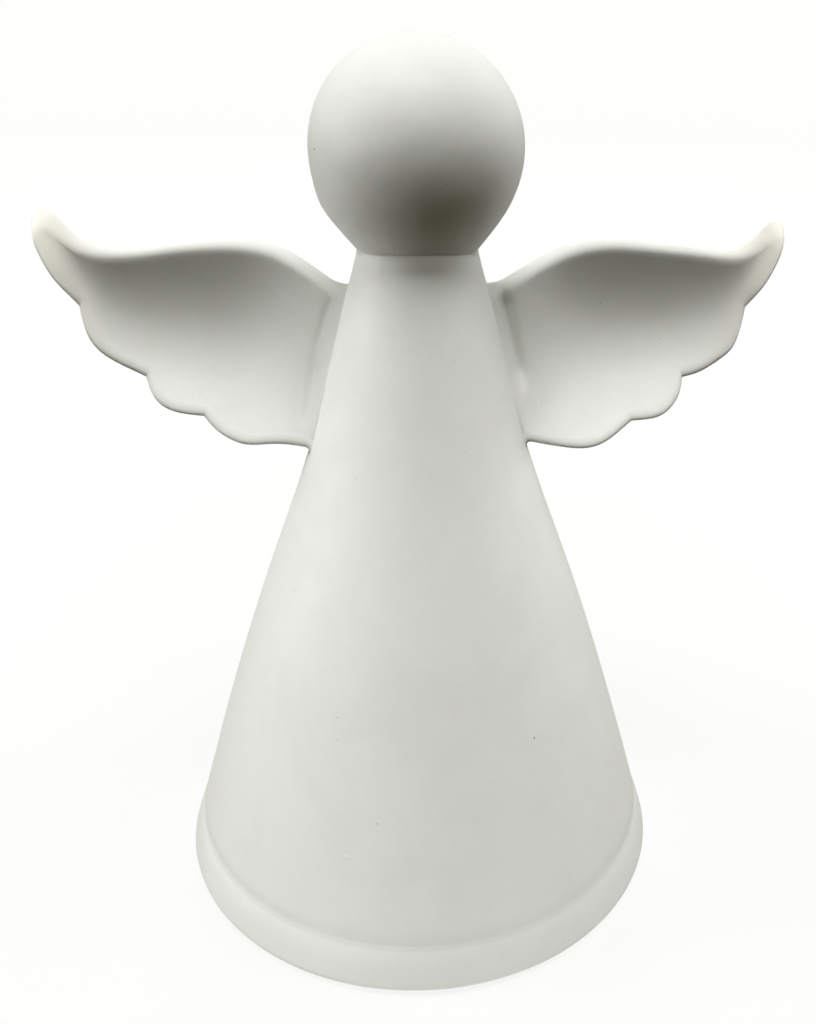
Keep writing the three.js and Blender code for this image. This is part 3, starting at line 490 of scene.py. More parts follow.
class Wiring:
    """Short ways to add and join nodes in one tree."""

    def __init__(self, tree):
        self.tree = tree

    def join(self, source, target):
        """Links a socket, or sets a plain value on it."""
        if isinstance(source, bpy.types.NodeSocket):
            self.tree.links.new(source, target)
        elif source is not None:
            target.default_value = source

    def node(self, kind, settings=None, **inputs):
        """Adds a node, with its settings and its inputs by name."""
        made = self.tree.nodes.new(kind)
        for key, value in (settings or {}).items():
            setattr(made, key, value)
        for key, value in inputs.items():
            self.join(value, made.inputs[key.replace("_", " ")])
        return made

    def sum(self, operation, *values):
        """One arithmetic step on numbers."""
        made = self.node("ShaderNodeMath", {"operation": operation})
        for value, socket in zip(values, made.inputs):
            self.join(value, socket)
        return made.outputs[0]

    def vector(self, operation, first, second):
        """One step on two places, that gives a number."""
        made = self.node("ShaderNodeVectorMath", {"operation": operation})
        self.join(first, made.inputs[0])
        self.join(second, made.inputs[1])
        return made.outputs["Value"]

    def mix(self, factor, first, second):
        """A blend of two colours."""
        made = self.node("ShaderNodeMix", {"data_type": "RGBA"})
        self.join(factor, made.inputs[0])
        self.join(first, made.inputs[6])
        self.join(second, made.inputs[7])
        return made.outputs[2]

    def ramp(self, value, low, high, to_low=0.0, to_high=1.0):
        """A smooth step of a value from one range to another."""
        made = self.node("ShaderNodeMapRange", {"interpolation_type": "SMOOTHSTEP"}, Value=value)
        for key, number in (("From Min", low), ("From Max", high), ("To Min", to_low), ("To Max", to_high)):
            self.join(number, made.inputs[key])
        return made.outputs[0]

    def noise(self, place, scale, detail=2.0, roughness=0.5):
        """Soft noise at a place, from 0 to 1."""
        inputs = {"Vector": place, "Scale": scale, "Detail": detail, "Roughness": roughness}
        return self.node("ShaderNodeTexNoise", {"noise_dimensions": "3D"}, **inputs).outputs[0]


def patches_group():
    """Slow patches of a second colour, and the same patches as a change of roughness."""
    sockets = [
        ("Place", "NodeSocketVector", None),
        ("Colour", "NodeSocketColor", (0.8, 0.8, 0.8, 1)),
        ("Patch colour", "NodeSocketColor", (0.7, 0.7, 0.7, 1)),
        ("Patch size", "NodeSocketFloat", 10 * MM),
        ("Amount", "NodeSocketFloat", 0.5),
        ("Roughness", "NodeSocketFloat", 0.5),
        ("Roughness change", "NodeSocketFloat", 0.1),
    ]
    outputs = [("Colour", "NodeSocketColor"), ("Roughness", "NodeSocketFloat")]
    w, given, made = new_group("Fired patches", sockets, outputs)
    scale = w.sum("DIVIDE", 1.0, given["Patch size"])
    cloud = w.noise(given["Place"], scale, detail=3.0, roughness=0.55)
    patch = w.ramp(cloud, low=0.36, high=0.66)
    amount = w.sum("MULTIPLY", patch, given["Amount"])
    w.join(w.mix(amount, given["Colour"], given["Patch colour"]), made["Colour"])
    w.join(w.sum("MULTIPLY_ADD", patch, given["Roughness change"], given["Roughness"]), made["Roughness"])
    return w.tree


def specks_group():
    """Rare small specks: near the middle of a few cells of a cell pattern, of mixed sizes."""
    sockets = [
        ("Place", "NodeSocketVector", None),
        ("Spacing", "NodeSocketFloat", 6 * MM),
        ("Size", "NodeSocketFloat", 0.2 * MM),
        ("Share", "NodeSocketFloat", 0.2),
    ]
    w, given, made = new_group("Specks", sockets, [("Mask", "NodeSocketFloat")])
    size_range, size_least, core_share = 0.7, 0.5, 0.35
    scale = w.sum("DIVIDE", 1.0, given["Spacing"])
    cells = w.node("ShaderNodeTexVoronoi", {"feature": "F1"}, Vector=given["Place"], Scale=scale)
    parted = w.node("ShaderNodeSeparateColor", Color=cells.outputs["Color"])
    chosen = w.sum("LESS_THAN", parted.outputs[0], given["Share"])
    reach = w.sum("MULTIPLY", given["Size"], w.sum("MULTIPLY_ADD", parted.outputs[1], size_range, size_least))
    away = w.sum("MULTIPLY", cells.outputs["Distance"], given["Spacing"])
    near = w.ramp(away, w.sum("MULTIPLY", reach, core_share), reach, to_low=1.0, to_high=0.0)
    w.join(w.sum("MULTIPLY", near, chosen), made["Mask"])
    return w.tree


def placed_speck_group():
    """One speck at its own place: a soft dot round the centre."""
    sockets = [
        ("Place", "NodeSocketVector", None),
        ("Centre", "NodeSocketVector", (0, 0, 0)),
        ("Size", "NodeSocketFloat", 0.3 * MM),
    ]
    w, given, made = new_group("Placed speck", sockets, [("Mask", "NodeSocketFloat")])
    apart = w.vector("DISTANCE", given["Place"], given["Centre"])
    core = w.sum("MULTIPLY", given["Size"], 0.5)
    w.join(w.ramp(apart, core, given["Size"], to_low=1.0, to_high=0.0), made["Mask"])
    return w.tree


def grain_group():
    """Height of a fine surface grain: a small noise over a slower one, in metres."""
    sockets = [
        ("Place", "NodeSocketVector", None),
        ("Size", "NodeSocketFloat", 0.4 * MM),
        ("Depth", "NodeSocketFloat", 0.01 * MM),
        ("Slow share", "NodeSocketFloat", 2.0),
    ]
    w, given, made = new_group("Grain", sockets, [("Height", "NodeSocketFloat")])
    slow_scale = 0.12
    fine = w.noise(given["Place"], w.sum("DIVIDE", 1.0, given["Size"]), detail=3.0, roughness=0.6)
    slow = w.noise(given["Place"], w.sum("DIVIDE", slow_scale, given["Size"]))
    both = w.sum("MULTIPLY_ADD", slow, given["Slow share"], fine)
    w.join(w.sum("MULTIPLY", both, given["Depth"]), made["Height"])
    return w.tree


def brushing_group():
    """Fine parallel scratches along X, as a value from 0 to 1."""
    sockets = [("Place", "NodeSocketVector", None), ("Pitch", "NodeSocketFloat", 0.15 * MM)]
    w, given, made = new_group("Brushing", sockets, [("Value", "NodeSocketFloat")])
    drawn_out = w.node("ShaderNodeMapping", Vector=given["Place"], Scale=(0.04, 1, 1))
    w.join(w.noise(drawn_out.outputs[0], w.sum("DIVIDE", 1.0, given["Pitch"])), made["Value"])
    return w.tree


class Finishes:
    """The finishes, each made once from the colours that the user sets, and shared by the pieces."""

    made = {}
    groups = {}

    @classmethod
    def group(cls, maker):
        """The effect's group, built at its first use."""
        if maker not in cls.groups:
            cls.groups[maker] = maker()
        return cls.groups[maker]

    @classmethod
    def get(cls, maker, *details):
        """The material that a maker function builds with these details, built at its first use."""
        if (maker, details) not in cls.made:
            cls.made[maker, details] = maker(bpy.context.scene.angel_colours, *details).material
        return cls.made[maker, details]


class Finish:
    """One material in the making: its wiring, its shader and the object's own coordinates. Constants go on
    the shader itself."""

    def __init__(self, name, **constants):
        self.material = bpy.data.materials.new(name)
        self.material.use_nodes = True
        self.wiring = Wiring(self.material.node_tree)
        self.shader = self.material.node_tree.nodes["Principled BSDF"]
        self.set(**constants)
        self.place = self.wiring.node("ShaderNodeTexCoord").outputs["Object"]

    def set(self, **values):
        """Joins values to the shader's sockets by their names."""
        for key, value in values.items():
            self.wiring.join(value, self.shader.inputs[key.replace("_", " ")])

    def effect(self, maker, **inputs):
        """Places an effect's group, with this material's own values."""
        settings = {"node_tree": Finishes.group(maker)}
        return self.wiring.node("ShaderNodeGroup", settings, Place=self.place, **inputs).outputs

    def patches(self, colour, second, size, amount, roughness, change):
        """Slow patches of a second colour and roughness, which the shader gets, and their outputs."""
        inputs = {"Colour": colour, "Patch_colour": second, "Patch_size": size, "Amount": amount}
        made = self.effect(patches_group, **inputs, Roughness=roughness, Roughness_change=change)
        self.set(Base_Color=made["Colour"], Roughness=made["Roughness"])
        return made

    def specks(self, spacing, size, share):
        """Mask of rare specks."""
        return self.effect(specks_group, Spacing=spacing, Size=size, Share=share)["Mask"]

    def speck_at(self, centre, size):
        """Mask of one speck at its own place."""
        return self.effect(placed_speck_group, Centre=centre, Size=size)["Mask"]

    def grain(self, size, depth, slow_share):
        """Height of a fine grain."""
        return self.effect(grain_group, Size=size, Depth=depth, Slow_share=slow_share)["Height"]

    def brushing(self, pitch):
        """Fine parallel scratches, from 0 to 1."""
        return self.effect(brushing_group, Pitch=pitch)["Value"]

    def axis(self, name):
        """One of the object's own coordinates."""
        return self.wiring.node("ShaderNodeSeparateXYZ", Vector=self.place).outputs[name]

    def bump(self, height):
        """Turns a height in metres into the shader's normal."""
        made = self.wiring.node("ShaderNodeBump", Height=height, Distance=1.0, Strength=1.0)
        self.set(Normal=made.outputs[0])


def solid(colour, share=1):
    """A colour, or a share of it, with its alpha."""
    return (*(share * value for value in colour), 1)


# How strongly the rare specks and the dust show, and the pimples' height and a pin bump's size
RARE_SPECK_SHARE = 0.5
DUST_SHARE = 0.2
PIMPLE_HEIGHT = 0.05 * MM
PIN_BUMP_SIZE = 0.6 * MM
# Out from the middle, where the wings begin to be thin and where they are thinnest, over which the painted
# glow grows
TIP_GLOW_START = 56 * MM
TIP_GLOW_END = 68 * MM


def bisque(colours):
    """Bare porcelain: slow fired patches, rare iron specks and pin bumps, a fine sandy grain, and a painted
    glow:
    the thin wing tips are painted a warmer white for light shining through them."""
    constants = {"Subsurface_Weight": 0.25, "Subsurface_Radius": (1.0, 0.86, 0.66)}
    finish = Finish("Bisque porcelain", **constants, Subsurface_Scale=0.9 * MM, IOR=1.5)
    w = finish.wiring
    patch = {"size": 14 * MM, "amount": 0.55, "roughness": 0.56, "change": 0.12}
    fired = finish.patches(solid(colours.bisque), solid(colours.bisque_shade), **patch)
    iron = w.sum("MULTIPLY", finish.specks(spacing=12 * MM, size=0.2 * MM, share=0.12), RARE_SPECK_SHARE)
    for centre, size, strength in IRON_SPECKS:
        iron = w.sum("MAXIMUM", iron, w.sum("MULTIPLY", finish.speck_at(centre, size), strength))
    dust = w.sum("MULTIPLY", finish.specks(spacing=4 * MM, size=0.3 * MM, share=0.1), DUST_SHARE)
    spotted = w.mix(w.sum("MAXIMUM", iron, dust), fired["Colour"], solid(colours.speck))
    # Painted glow: towards the tips the colour goes to a warmer white, for light shining through the thin
    # porcelain
    thin = w.ramp(w.sum("ABSOLUTE", finish.axis("X")), TIP_GLOW_START, TIP_GLOW_END)
    finish.set(Base_Color=w.mix(thin, spotted, solid(colours.thin)))
    grain = finish.grain(size=0.45 * MM, depth=0.02 * MM, slow_share=3.0)
    pimples = finish.specks(spacing=16 * MM, size=0.8 * MM, share=0.1)
    for centre in PIN_BUMPS:
        pimples = w.sum("MAXIMUM", pimples, finish.speck_at(centre, PIN_BUMP_SIZE))
    finish.bump(w.sum("MULTIPLY_ADD", pimples, PIMPLE_HEIGHT, grain))
    return finish


def moulding(colours):
    """White moulded plastic with a fine spark texture."""
    finish = Finish("White moulding", Subsurface_Weight=0.08, Subsurface_Scale=0.6 * MM, IOR=1.49)
    patch = {"size": 9 * MM, "amount": 0.3, "roughness": 0.42, "change": 0.08}
    finish.patches(solid(colours.moulding), (0.75, 0.75, 0.71, 1), **patch)
    finish.bump(finish.grain(size=0.22 * MM, depth=0.008 * MM, slow_share=0.6))
    return finish


def rubber(colours, name, key, roughness):
    """Soft silicone: slow patches, faint lint and a fine skin."""
    finish = Finish(name, Subsurface_Weight=0.3, Subsurface_Scale=1 * MM, IOR=1.41)
    w = finish.wiring
    colour = getattr(colours, key)
    patch = {"size": 5 * MM, "amount": 0.6, "roughness": roughness, "change": 0.12}
    patches = finish.patches(solid(colour), solid(colour, share=0.88), **patch)
    lint_share = 0.4
    lint = w.sum("MULTIPLY", finish.specks(spacing=2.2 * MM, size=0.16 * MM, share=0.2), lint_share)
    finish.set(Base_Color=w.mix(lint, patches["Colour"], (0.9, 0.9, 0.88, 1)))
    finish.bump(finish.grain(size=0.3 * MM, depth=0.01 * MM, slow_share=1.0))
    return finish


def frosted(colours):
    """Frosted plastic of the light dome, which lets light through."""
    constants = {"Transmission_Weight": 0.3, "Subsurface_Weight": 0.4, "Subsurface_Scale": 2 * MM}
    finish = Finish("Frosted dome", **constants, IOR=1.49)
    patch = {"size": 6 * MM, "amount": 0.4, "roughness": 0.5, "change": 0.1}
    finish.patches(solid(colours.frosted), (0.86, 0.84, 0.76, 1), **patch)
    finish.bump(finish.grain(size=0.18 * MM, depth=0.01 * MM, slow_share=0.4))
    return finish


def brushed(finish, patches, pitch, change):
    """Adds drawing marks to a finish's roughness, and gives them back."""
    marks = finish.brushing(pitch)
    finish.set(Roughness=finish.wiring.sum("MULTIPLY_ADD", marks, change, patches["Roughness"]))
    return marks


def nickel(colours):
    """Nickel-plated steel with fine drawing marks and dull patches."""
    finish = Finish("Nickel plate", Metallic=1.0)
    patch = {"size": 2.5 * MM, "amount": 0.6, "roughness": 0.24, "change": 0.14}
    patches = finish.patches(solid(colours.nickel), (0.5, 0.485, 0.455, 1), **patch)
    marks = brushed(finish, patches, pitch=0.12 * MM, change=0.12)
    mark_height = 0.004 * MM
    finish.bump(finish.wiring.sum("MULTIPLY", marks, mark_height))
    return finish


def foil(colours, name, key):
    """A battery's printed foil sleeve, with fine drawing marks and rubbed patches."""
    finish = Finish(name, Metallic=0.35, Coat_Weight=0.5, Coat_Roughness=0.12)
    colour = getattr(colours, key)
    gain, lift = 1.5, 0.02
    rubbed = [min(1, gain * value + lift) for value in colour]
    patch = {"size": 4 * MM, "amount": 0.5, "roughness": 0.3, "change": 0.15}
    brushed(finish, finish.patches(solid(colour), solid(rubbed), **patch), pitch=0.2 * MM, change=0.08)
    return finish


def coated(colours, name, key, roughness):
    """A plain coated or moulded part in one colour, with patches, dust and a fine grain."""
    finish = Finish(name, IOR=1.48)
    w = finish.wiring
    colour = getattr(colours, key)
    patch = {"size": 3 * MM, "amount": 0.5, "roughness": roughness, "change": 0.15}
    patches = finish.patches(solid(colour), solid(colour, share=0.75), **patch)
    dust_share = 0.25
    dust = w.sum("MULTIPLY", finish.specks(spacing=1.6 * MM, size=0.12 * MM, share=0.15), dust_share)
    finish.set(Base_Color=w.mix(dust, patches["Colour"], (0.6, 0.58, 0.54, 1)))
    finish.bump(finish.grain(size=0.25 * MM, depth=0.006 * MM, slow_share=0.5))
    return finish


def board(colours):
    """Green solder mask with paler copper tracks under it, drawn by the edges of a cell pattern."""
    finish = Finish("Solder mask", Coat_Weight=0.3, Coat_Roughness=0.2)
    w = finish.wiring
    track_pitch, track_height = 3.5 * MM, 0.03 * MM
    mask_roughness, track_roughness_change = 0.42, -0.1
    settings = {"feature": "DISTANCE_TO_EDGE", "distance": "EUCLIDEAN"}
    cells = w.node("ShaderNodeTexVoronoi", settings, Vector=finish.place, Scale=1 / track_pitch)
    tracks = w.ramp(cells.outputs["Distance"], low=0.06, high=0.1, to_low=1.0, to_high=0.0)
    finish.set(
        Base_Color=w.mix(tracks, (0.02, 0.17, 0.055, 1), (0.06, 0.33, 0.11, 1)),
        Roughness=w.sum("MULTIPLY_ADD", tracks, track_roughness_change, mask_roughness),
    )
    finish.bump(w.sum("MULTIPLY", tracks, track_height))
    return finish


def lamp_resin(colours):
    """Clear lamp resin over yellow phosphor, warmest at the foot of the lamp."""
    finish = Finish("Lamp resin", Transmission_Weight=0.45, IOR=1.54)
    w = finish.wiring
    lamp_low, lamp_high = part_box("lamp_1")
    up = w.ramp(finish.axis("Z"), lamp_low.z, lamp_high.z)
    cloud_size, least, change = 1.5 * MM, 0.08, 0.1
    finish.set(
        Base_Color=w.mix(up, (0.86, 0.66, 0.16, 1), (0.93, 0.9, 0.74, 1)),
        Roughness=w.sum("MULTIPLY_ADD", w.noise(finish.place, 1 / cloud_size), change, least),
    )
    return finish


# The resistor's rings with their places from its middle, and half a ring, half the body and the edges' blur
RESISTOR_RINGS = [
    (-1.5 * MM, (0.4, 0.02, 0.02, 1)),
    (-0.6 * MM, (0.35, 0.05, 0.3, 1)),
    (0.3 * MM, (0.09, 0.035, 0.015, 1)),
    (1.5 * MM, (0.6, 0.42, 0.12, 1)),
]
RING_HALF_WIDTH = 0.2 * MM
RESISTOR_HALF_LENGTH = 2.5 * MM
RING_BLUR = 0.06 * MM


def resistor_paint(colours):
    """Tan resistor paint with four coloured rings and bare wire ends, by the place along the body."""
    finish = Finish("Resistor paint", IOR=1.5)
    w = finish.wiring
    x = finish.axis("X")
    colour = (0.5, 0.33, 0.17, 1)
    for middle, ring in RESISTOR_RINGS:
        away = w.sum("ABSOLUTE", w.sum("SUBTRACT", x, middle))
        on_ring = w.ramp(away, RING_HALF_WIDTH, RING_HALF_WIDTH + RING_BLUR, to_low=1.0, to_high=0.0)
        colour = w.mix(on_ring, colour, ring)
    wire = w.ramp(w.sum("ABSOLUTE", x), RESISTOR_HALF_LENGTH, RESISTOR_HALF_LENGTH + RING_BLUR)
    cloud_size, least, change = 0.8 * MM, 0.3, 0.2
    finish.set(
        Base_Color=w.mix(wire, colour, (0.6, 0.6, 0.58, 1)),
        Metallic=wire,
        Roughness=w.sum("MULTIPLY_ADD", w.noise(finish.place, 1 / cloud_size), change, least),
    )
    return finish


# Porcelain

# Radii of some edges, as shares of the usual one
BAND_ROUNDING_SHARE = 1.5
FLOOR_ROUNDING_SHARE = 4
REBATE_ROUNDING_SHARE = 0.5
RIM_ROUNDING_SHARE = 1.3
# How far the foot's corner stands out, by its rounding, and how far down the waist is, by its reach
FOOT_FLARE_SHARE = 0.35
WAIST_PLACE_SHARE = 0.6
# Waves of the cast wall: height, waves round the axis, turns up the side and phase
CAST_WAVES = [(0.34, 2, 5, 0.6), (0.28, 3, -9, 2.1), (0.2, 5, 13, 4.0), (0.18, 7, -21, 1.0)]
# The head's lower slope, along which it settles, and the place and reach of its sag above the rim
SETTLE_SLOPE = np.array((0.64, 0.77))
SAG_RISE = 5 * MM
SAG_REACH = 4.5 * MM
# The slip seam: how far it laps up the head and how hollow it is, by its height, and how far it sinks in
SEAM_LAP_SHARE = 0.35
SEAM_HOLLOW_SHARE = 0.1
SEAM_SINK = 0.02 * MM
# The least length that anything is divided by
LEAST_LENGTH = 0.01 * MM


def gown_side(s):
    """The gown's outer side from the neck down to the crease: a cubic through shares of its fall and its
    rise, drawn in below the neck by a bell curve of the height."""
    fall = s.crease_radius - s.neck_radius
    rise = s.neck_height - s.crease_height
    places = [(s.neck_radius + fall * out, s.crease_height + rise * up) for out, up in reversed(GOWN_SHARES)]
    side = spline(places, count=130)
    waist_height = s.neck_height - WAIST_PLACE_SHARE * s.neck_waist_reach
    waist = np.exp(-(((waist_height - side[:, 1]) / s.neck_waist_reach) ** 2))
    return side - np.stack([s.neck_waist * waist, 0 * waist], -1)


def gown_outline(s):
    """The wall's whole outline: down the outer side, drawn in by a square law just above the hem band, over
    the band, under the foot, up the rebate and the hole, and up the inner side to the light hole."""
    side = gown_side(s)
    edge = s.edge_rounding
    drawn = np.clip(1 - (side[:, 1] - s.crease_height) / s.groove_reach, 0, 1) ** 2
    drawn_side = side - np.stack([s.groove_depth * drawn, 0 * drawn], -1)
    fall = s.crease_height - s.foot_height - s.foot_rounding
    flare = s.foot_radius - s.crease_radius
    band = [(s.crease_radius + flare * out, s.crease_height - fall * down) for out, down in HEM_SHARES]
    band_face = spline(band, count=20)
    rebate_top = s.foot_height + s.rebate_depth
    floor_top = rebate_top + s.wall
    neck_ceiling = s.neck_height - s.wall
    inner = side[(side[:, 1] < neck_ceiling - edge) & (side[:, 1] > floor_top + edge)][::-1]
    inner = inner[::3] - [s.wall, 0]
    neck_middle = (s.light_hole + s.neck_radius) / 2
    corners = [
        (neck_middle, s.neck_height),
        (s.neck_radius, s.neck_height, edge),
        *drawn_side[2:-1],
        (s.crease_radius - s.groove_depth, s.crease_height + s.groove_rise, s.groove_rounding),
        (*band_face[0], BAND_ROUNDING_SHARE * s.groove_rounding),
        *band_face[1:],
        (s.foot_radius + FOOT_FLARE_SHARE * s.foot_rounding, s.foot_height, s.foot_rounding),
        (s.rebate_radius, s.foot_height, edge),
        (s.rebate_radius, rebate_top, REBATE_ROUNDING_SHARE * edge),
        (s.base_hole, rebate_top, edge),
        (s.base_hole, floor_top, edge),
        (s.foot_radius - 2 * s.wall, floor_top, FLOOR_ROUNDING_SHARE * edge),
        *inner,
        (inner[-1][0], neck_ceiling, edge),
        (s.light_hole, neck_ceiling, edge),
        (s.light_hole, s.neck_height, edge),
        (neck_middle, s.neck_height),
    ]
    return rounded(corners)[:-1]


def cast_waver(points, depth, height):
    """Slow hand-finished unevenness: the side moves inwards by the depth times a sum of slow waves round the
    axis and up the side, from 0 to 1 in all, so that nothing stands proud of the plain shape."""
    x, y, z = points.T
    a = np.arctan2(y, x)
    up = z / height
    waves = sum(swing * np.sin(count * a + turns * up + phase) for swing, count, turns, phase in CAST_WAVES)
    radius = np.hypot(x, y)
    inward = depth * (waves + 1) / 2
    scale = np.where(radius > depth, 1 - inward / np.maximum(radius, depth), 1)
    return np.stack([x * scale, y * scale, z], -1)


def head_outline(s):
    """The head's wall: a quarter circle from the top, a drawn-in lower side on a quadratic curve, the rim,
    the light hole and the inner side back up to the top."""
    centre = s.head_top - s.head_radius
    turn = quarter(96)
    t = np.linspace(0, 1, 60)[1:, None]
    foot = s.neck_radius + s.head_overhang
    edge = s.edge_rounding

    def side(margin):
        radius = s.head_radius - margin
        ball = np.hstack([radius * np.sin(turn), centre + radius * np.cos(turn)])
        pull = (radius, centre - (centre - s.head_rim) * s.head_side)
        ends = [(radius, centre), pull, (foot - margin, s.head_rim)]
        lower = (1 - t) ** 2 * ends[0] + 2 * t * (1 - t) * np.array(ends[1]) + t**2 * ends[2]
        return np.vstack([ball, lower])

    outer = side(0)
    floor = s.head_rim + s.wall
    inner = side(s.wall)
    inner = inner[inner[:, 1] > floor + edge][::-2]
    corners = [
        *outer[:-2],
        (foot, s.head_rim, RIM_ROUNDING_SHARE * edge),
        (s.light_hole, s.head_rim, edge),
        (s.light_hole, floor, edge),
        (inner[0][0], floor, edge),
        *inner,
        (0, s.head_top - s.wall),
    ]
    return rounded(corners)


def settled(s, points):
    """The soft head sinks a little onto the neck at its left and its right: a point moves along the side's
    lower slope by the settle times x^2 / r^2, times the square of how near the rim it is. On one side it
    also sags outwards, by a bell curve of the height."""
    x, y, z = points.T
    radius = np.maximum(np.hypot(x, y), LEAST_LENGTH)
    near = np.clip((s.head_rim + s.head_settle_reach - z) / s.head_settle_reach, 0, 1) ** 2
    sunk = s.head_settle * near * (x / radius) ** 2
    bell = np.exp(-(((z - s.head_rim - SAG_RISE) / SAG_REACH) ** 2))
    sag = s.head_sag * bell * np.clip(-x / radius, 0, 1) ** 2
    scale = 1 - SETTLE_SLOPE[0] * sunk / (s.neck_radius + s.head_overhang) + sag / s.head_radius
    return np.stack([x * scale, y * scale, z - SETTLE_SLOPE[1] * sunk], -1)


def slip_seam(s):
    """The slip between neck and head: under the settled rim, at every angle, a hollow quadratic fillet from
    the neck's side up to the head's side, closed behind it inside the two walls."""
    a = circle(200)
    sunk = s.head_settle * np.cos(a) ** 2
    rim_radius = s.neck_radius + s.head_overhang - SETTLE_SLOPE[0] * sunk
    rim = s.head_rim - SETTLE_SLOPE[1] * sunk
    profile = gown_side(s)[::-1]

    def neck(height):
        return np.interp(height, profile[:, 1], profile[:, 0])

    low = rim - s.seam_slip
    slip = SEAM_LAP_SHARE * s.seam_slip
    start = np.stack([neck(low) - SEAM_SINK, low])
    corner = np.stack([neck(rim), rim - SEAM_HOLLOW_SHARE * s.seam_slip])
    end = np.stack([rim_radius + slip * SETTLE_SLOPE[0], rim + slip * SETTLE_SLOPE[1]])
    t = np.linspace(0, 1, 12)[:, None, None]
    fillet = (1 - t) ** 2 * start + 2 * t * (1 - t) * corner + t**2 * end
    behind = np.stack([[neck(rim) - s.wall / 2, rim + slip], [neck(low) - s.wall / 2, low]])
    section = np.concatenate([fillet, behind])
    radius, height = section[:, 0], section[:, 1]
    return shell(np.stack([radius * np.cos(a), radius * np.sin(a), height], -1), wrap_rows=True)


# Wings: how the dish grows shallow and its slope turns towards the tip and the root, as shares and powers
TIP_DROP_SHARE = 0.02
TIP_LEAN_SHARE = 2.6
TIP_LEAN_POWER = 14
TIP_TURN_SHARE = 0.74
TIP_TURN_POWER = 6
ROOT_SPAN_SHARE = 0.3
ROOT_LEAN_SHARE = 1.6
ROOT_TURN_SHARE = 0.7
# The lip is rounded away less by this share near the root, over this reach
LIP_ROOT_SHARE = 0.75
LIP_ROOT_REACH = 15 * MM
# Half the skin's thickness where the wing is narrow, as a share of its drop
NARROW_SHARE = 0.49
# How late the slip fillet fades towards the lower edge, and how far under the gown's side a root is laid
SWELL_POWER = 8
ROOT_COVER = 0.2 * MM
# Points across a wing's front or back, and points round either edge, with the two that it shares
FACE_POINTS = 44
EDGE_POINTS = 16


def wing_places(wing, shares):
    """Shares of the wing's reach and rise, as distances outwards and upwards."""
    out, up = np.array(shares, float).T
    across, rise = wing.reach - wing.start, wing.tip - wing.low
    return np.stack([wing.start + across * out, wing.low + rise * up], -1)


def wing_depth(wing, upper, x, z):
    """How far behind the middle the wing lies, and how far below its upper edge a place is. Along the span
    there is a bow. Downwards the slope turns from back to forward, lean - turn s^p with s the share b / d of
    the whole drop, so the depth is its integral lean b - turn d s^(p + 1) / (p + 1). Both are less towards
    the root, and towards the tip, where the lean turns forward."""
    span = np.clip((x - wing.start) / (wing.reach - wing.start), 0, 1)
    below = np.maximum(np.interp(x, upper[:, 0], upper[:, 1]) - z, 0)
    edge = wing.backset + 4 * wing.bow * span * (1 - span) - wing.tip_forward * span
    drop = wing.drop * np.maximum(1 - span**2, TIP_DROP_SHARE) ** wing.taper
    done = np.minimum(below / drop, 1)
    power = wing.turn_power + 1
    turned_by = wing.turn * drop * (done**power / power + below / drop - done)
    root = np.exp(-((span / ROOT_SPAN_SHARE) ** 2))
    lean = wing.lean * (1 - TIP_LEAN_SHARE * span**TIP_LEAN_POWER - ROOT_LEAN_SHARE * root)
    kept = 1 - TIP_TURN_SHARE * span**TIP_TURN_POWER - ROOT_TURN_SHARE * root
    return edge + lean * below - turned_by * kept, below


def tooled_depth(x, z, lines):
    """Depth of the lines tooled beside the root, each along a straight run from one (x, z) to another: a bell
    curve of the distance from the run, faded over its last fifth at either end."""
    depth = 0 * x
    for start, end, width, deep in lines:
        run = np.subtract(end, start)
        size = np.hypot(*run)
        done = ((x - start[0]) * run[0] + (z - start[1]) * run[1]) / size**2
        away = ((x - start[0]) * run[1] - (z - start[1]) * run[0]) / size
        fade = np.clip(5 * done, 0, 1) * np.clip(5 * (1 - done), 0, 1)
        depth = depth + deep * np.exp(-((away / width) ** 2)) * fade
    return depth


def wing_ribs(wing, name):
    """The upper edge, and each rib's upper and lower end: the ribs stand at even steps along every feather,
    and meet the upper edge at the same share of its length."""
    upper = spline(wing_places(wing, UPPER_EDGE_SHARES[name]), count=600)
    feathers = [spline(wing_places(wing, table), count=200) for table in FEATHER_SHARES[name]]
    runs = np.array([lengths_along(feather)[-1] for feather in feathers])
    lows, shares, done = [], [], 0
    for feather, run in zip(feathers, runs):
        count = int(round(wing.ribs * run / runs.sum()))
        steps = np.linspace(0, 1, count, endpoint=feather is feathers[-1])
        lows.append(along(feather, steps))
        shares.append((done + run * steps) / runs.sum())
        done += run
    return upper, along(upper, np.concatenate(shares)), np.concatenate(lows)


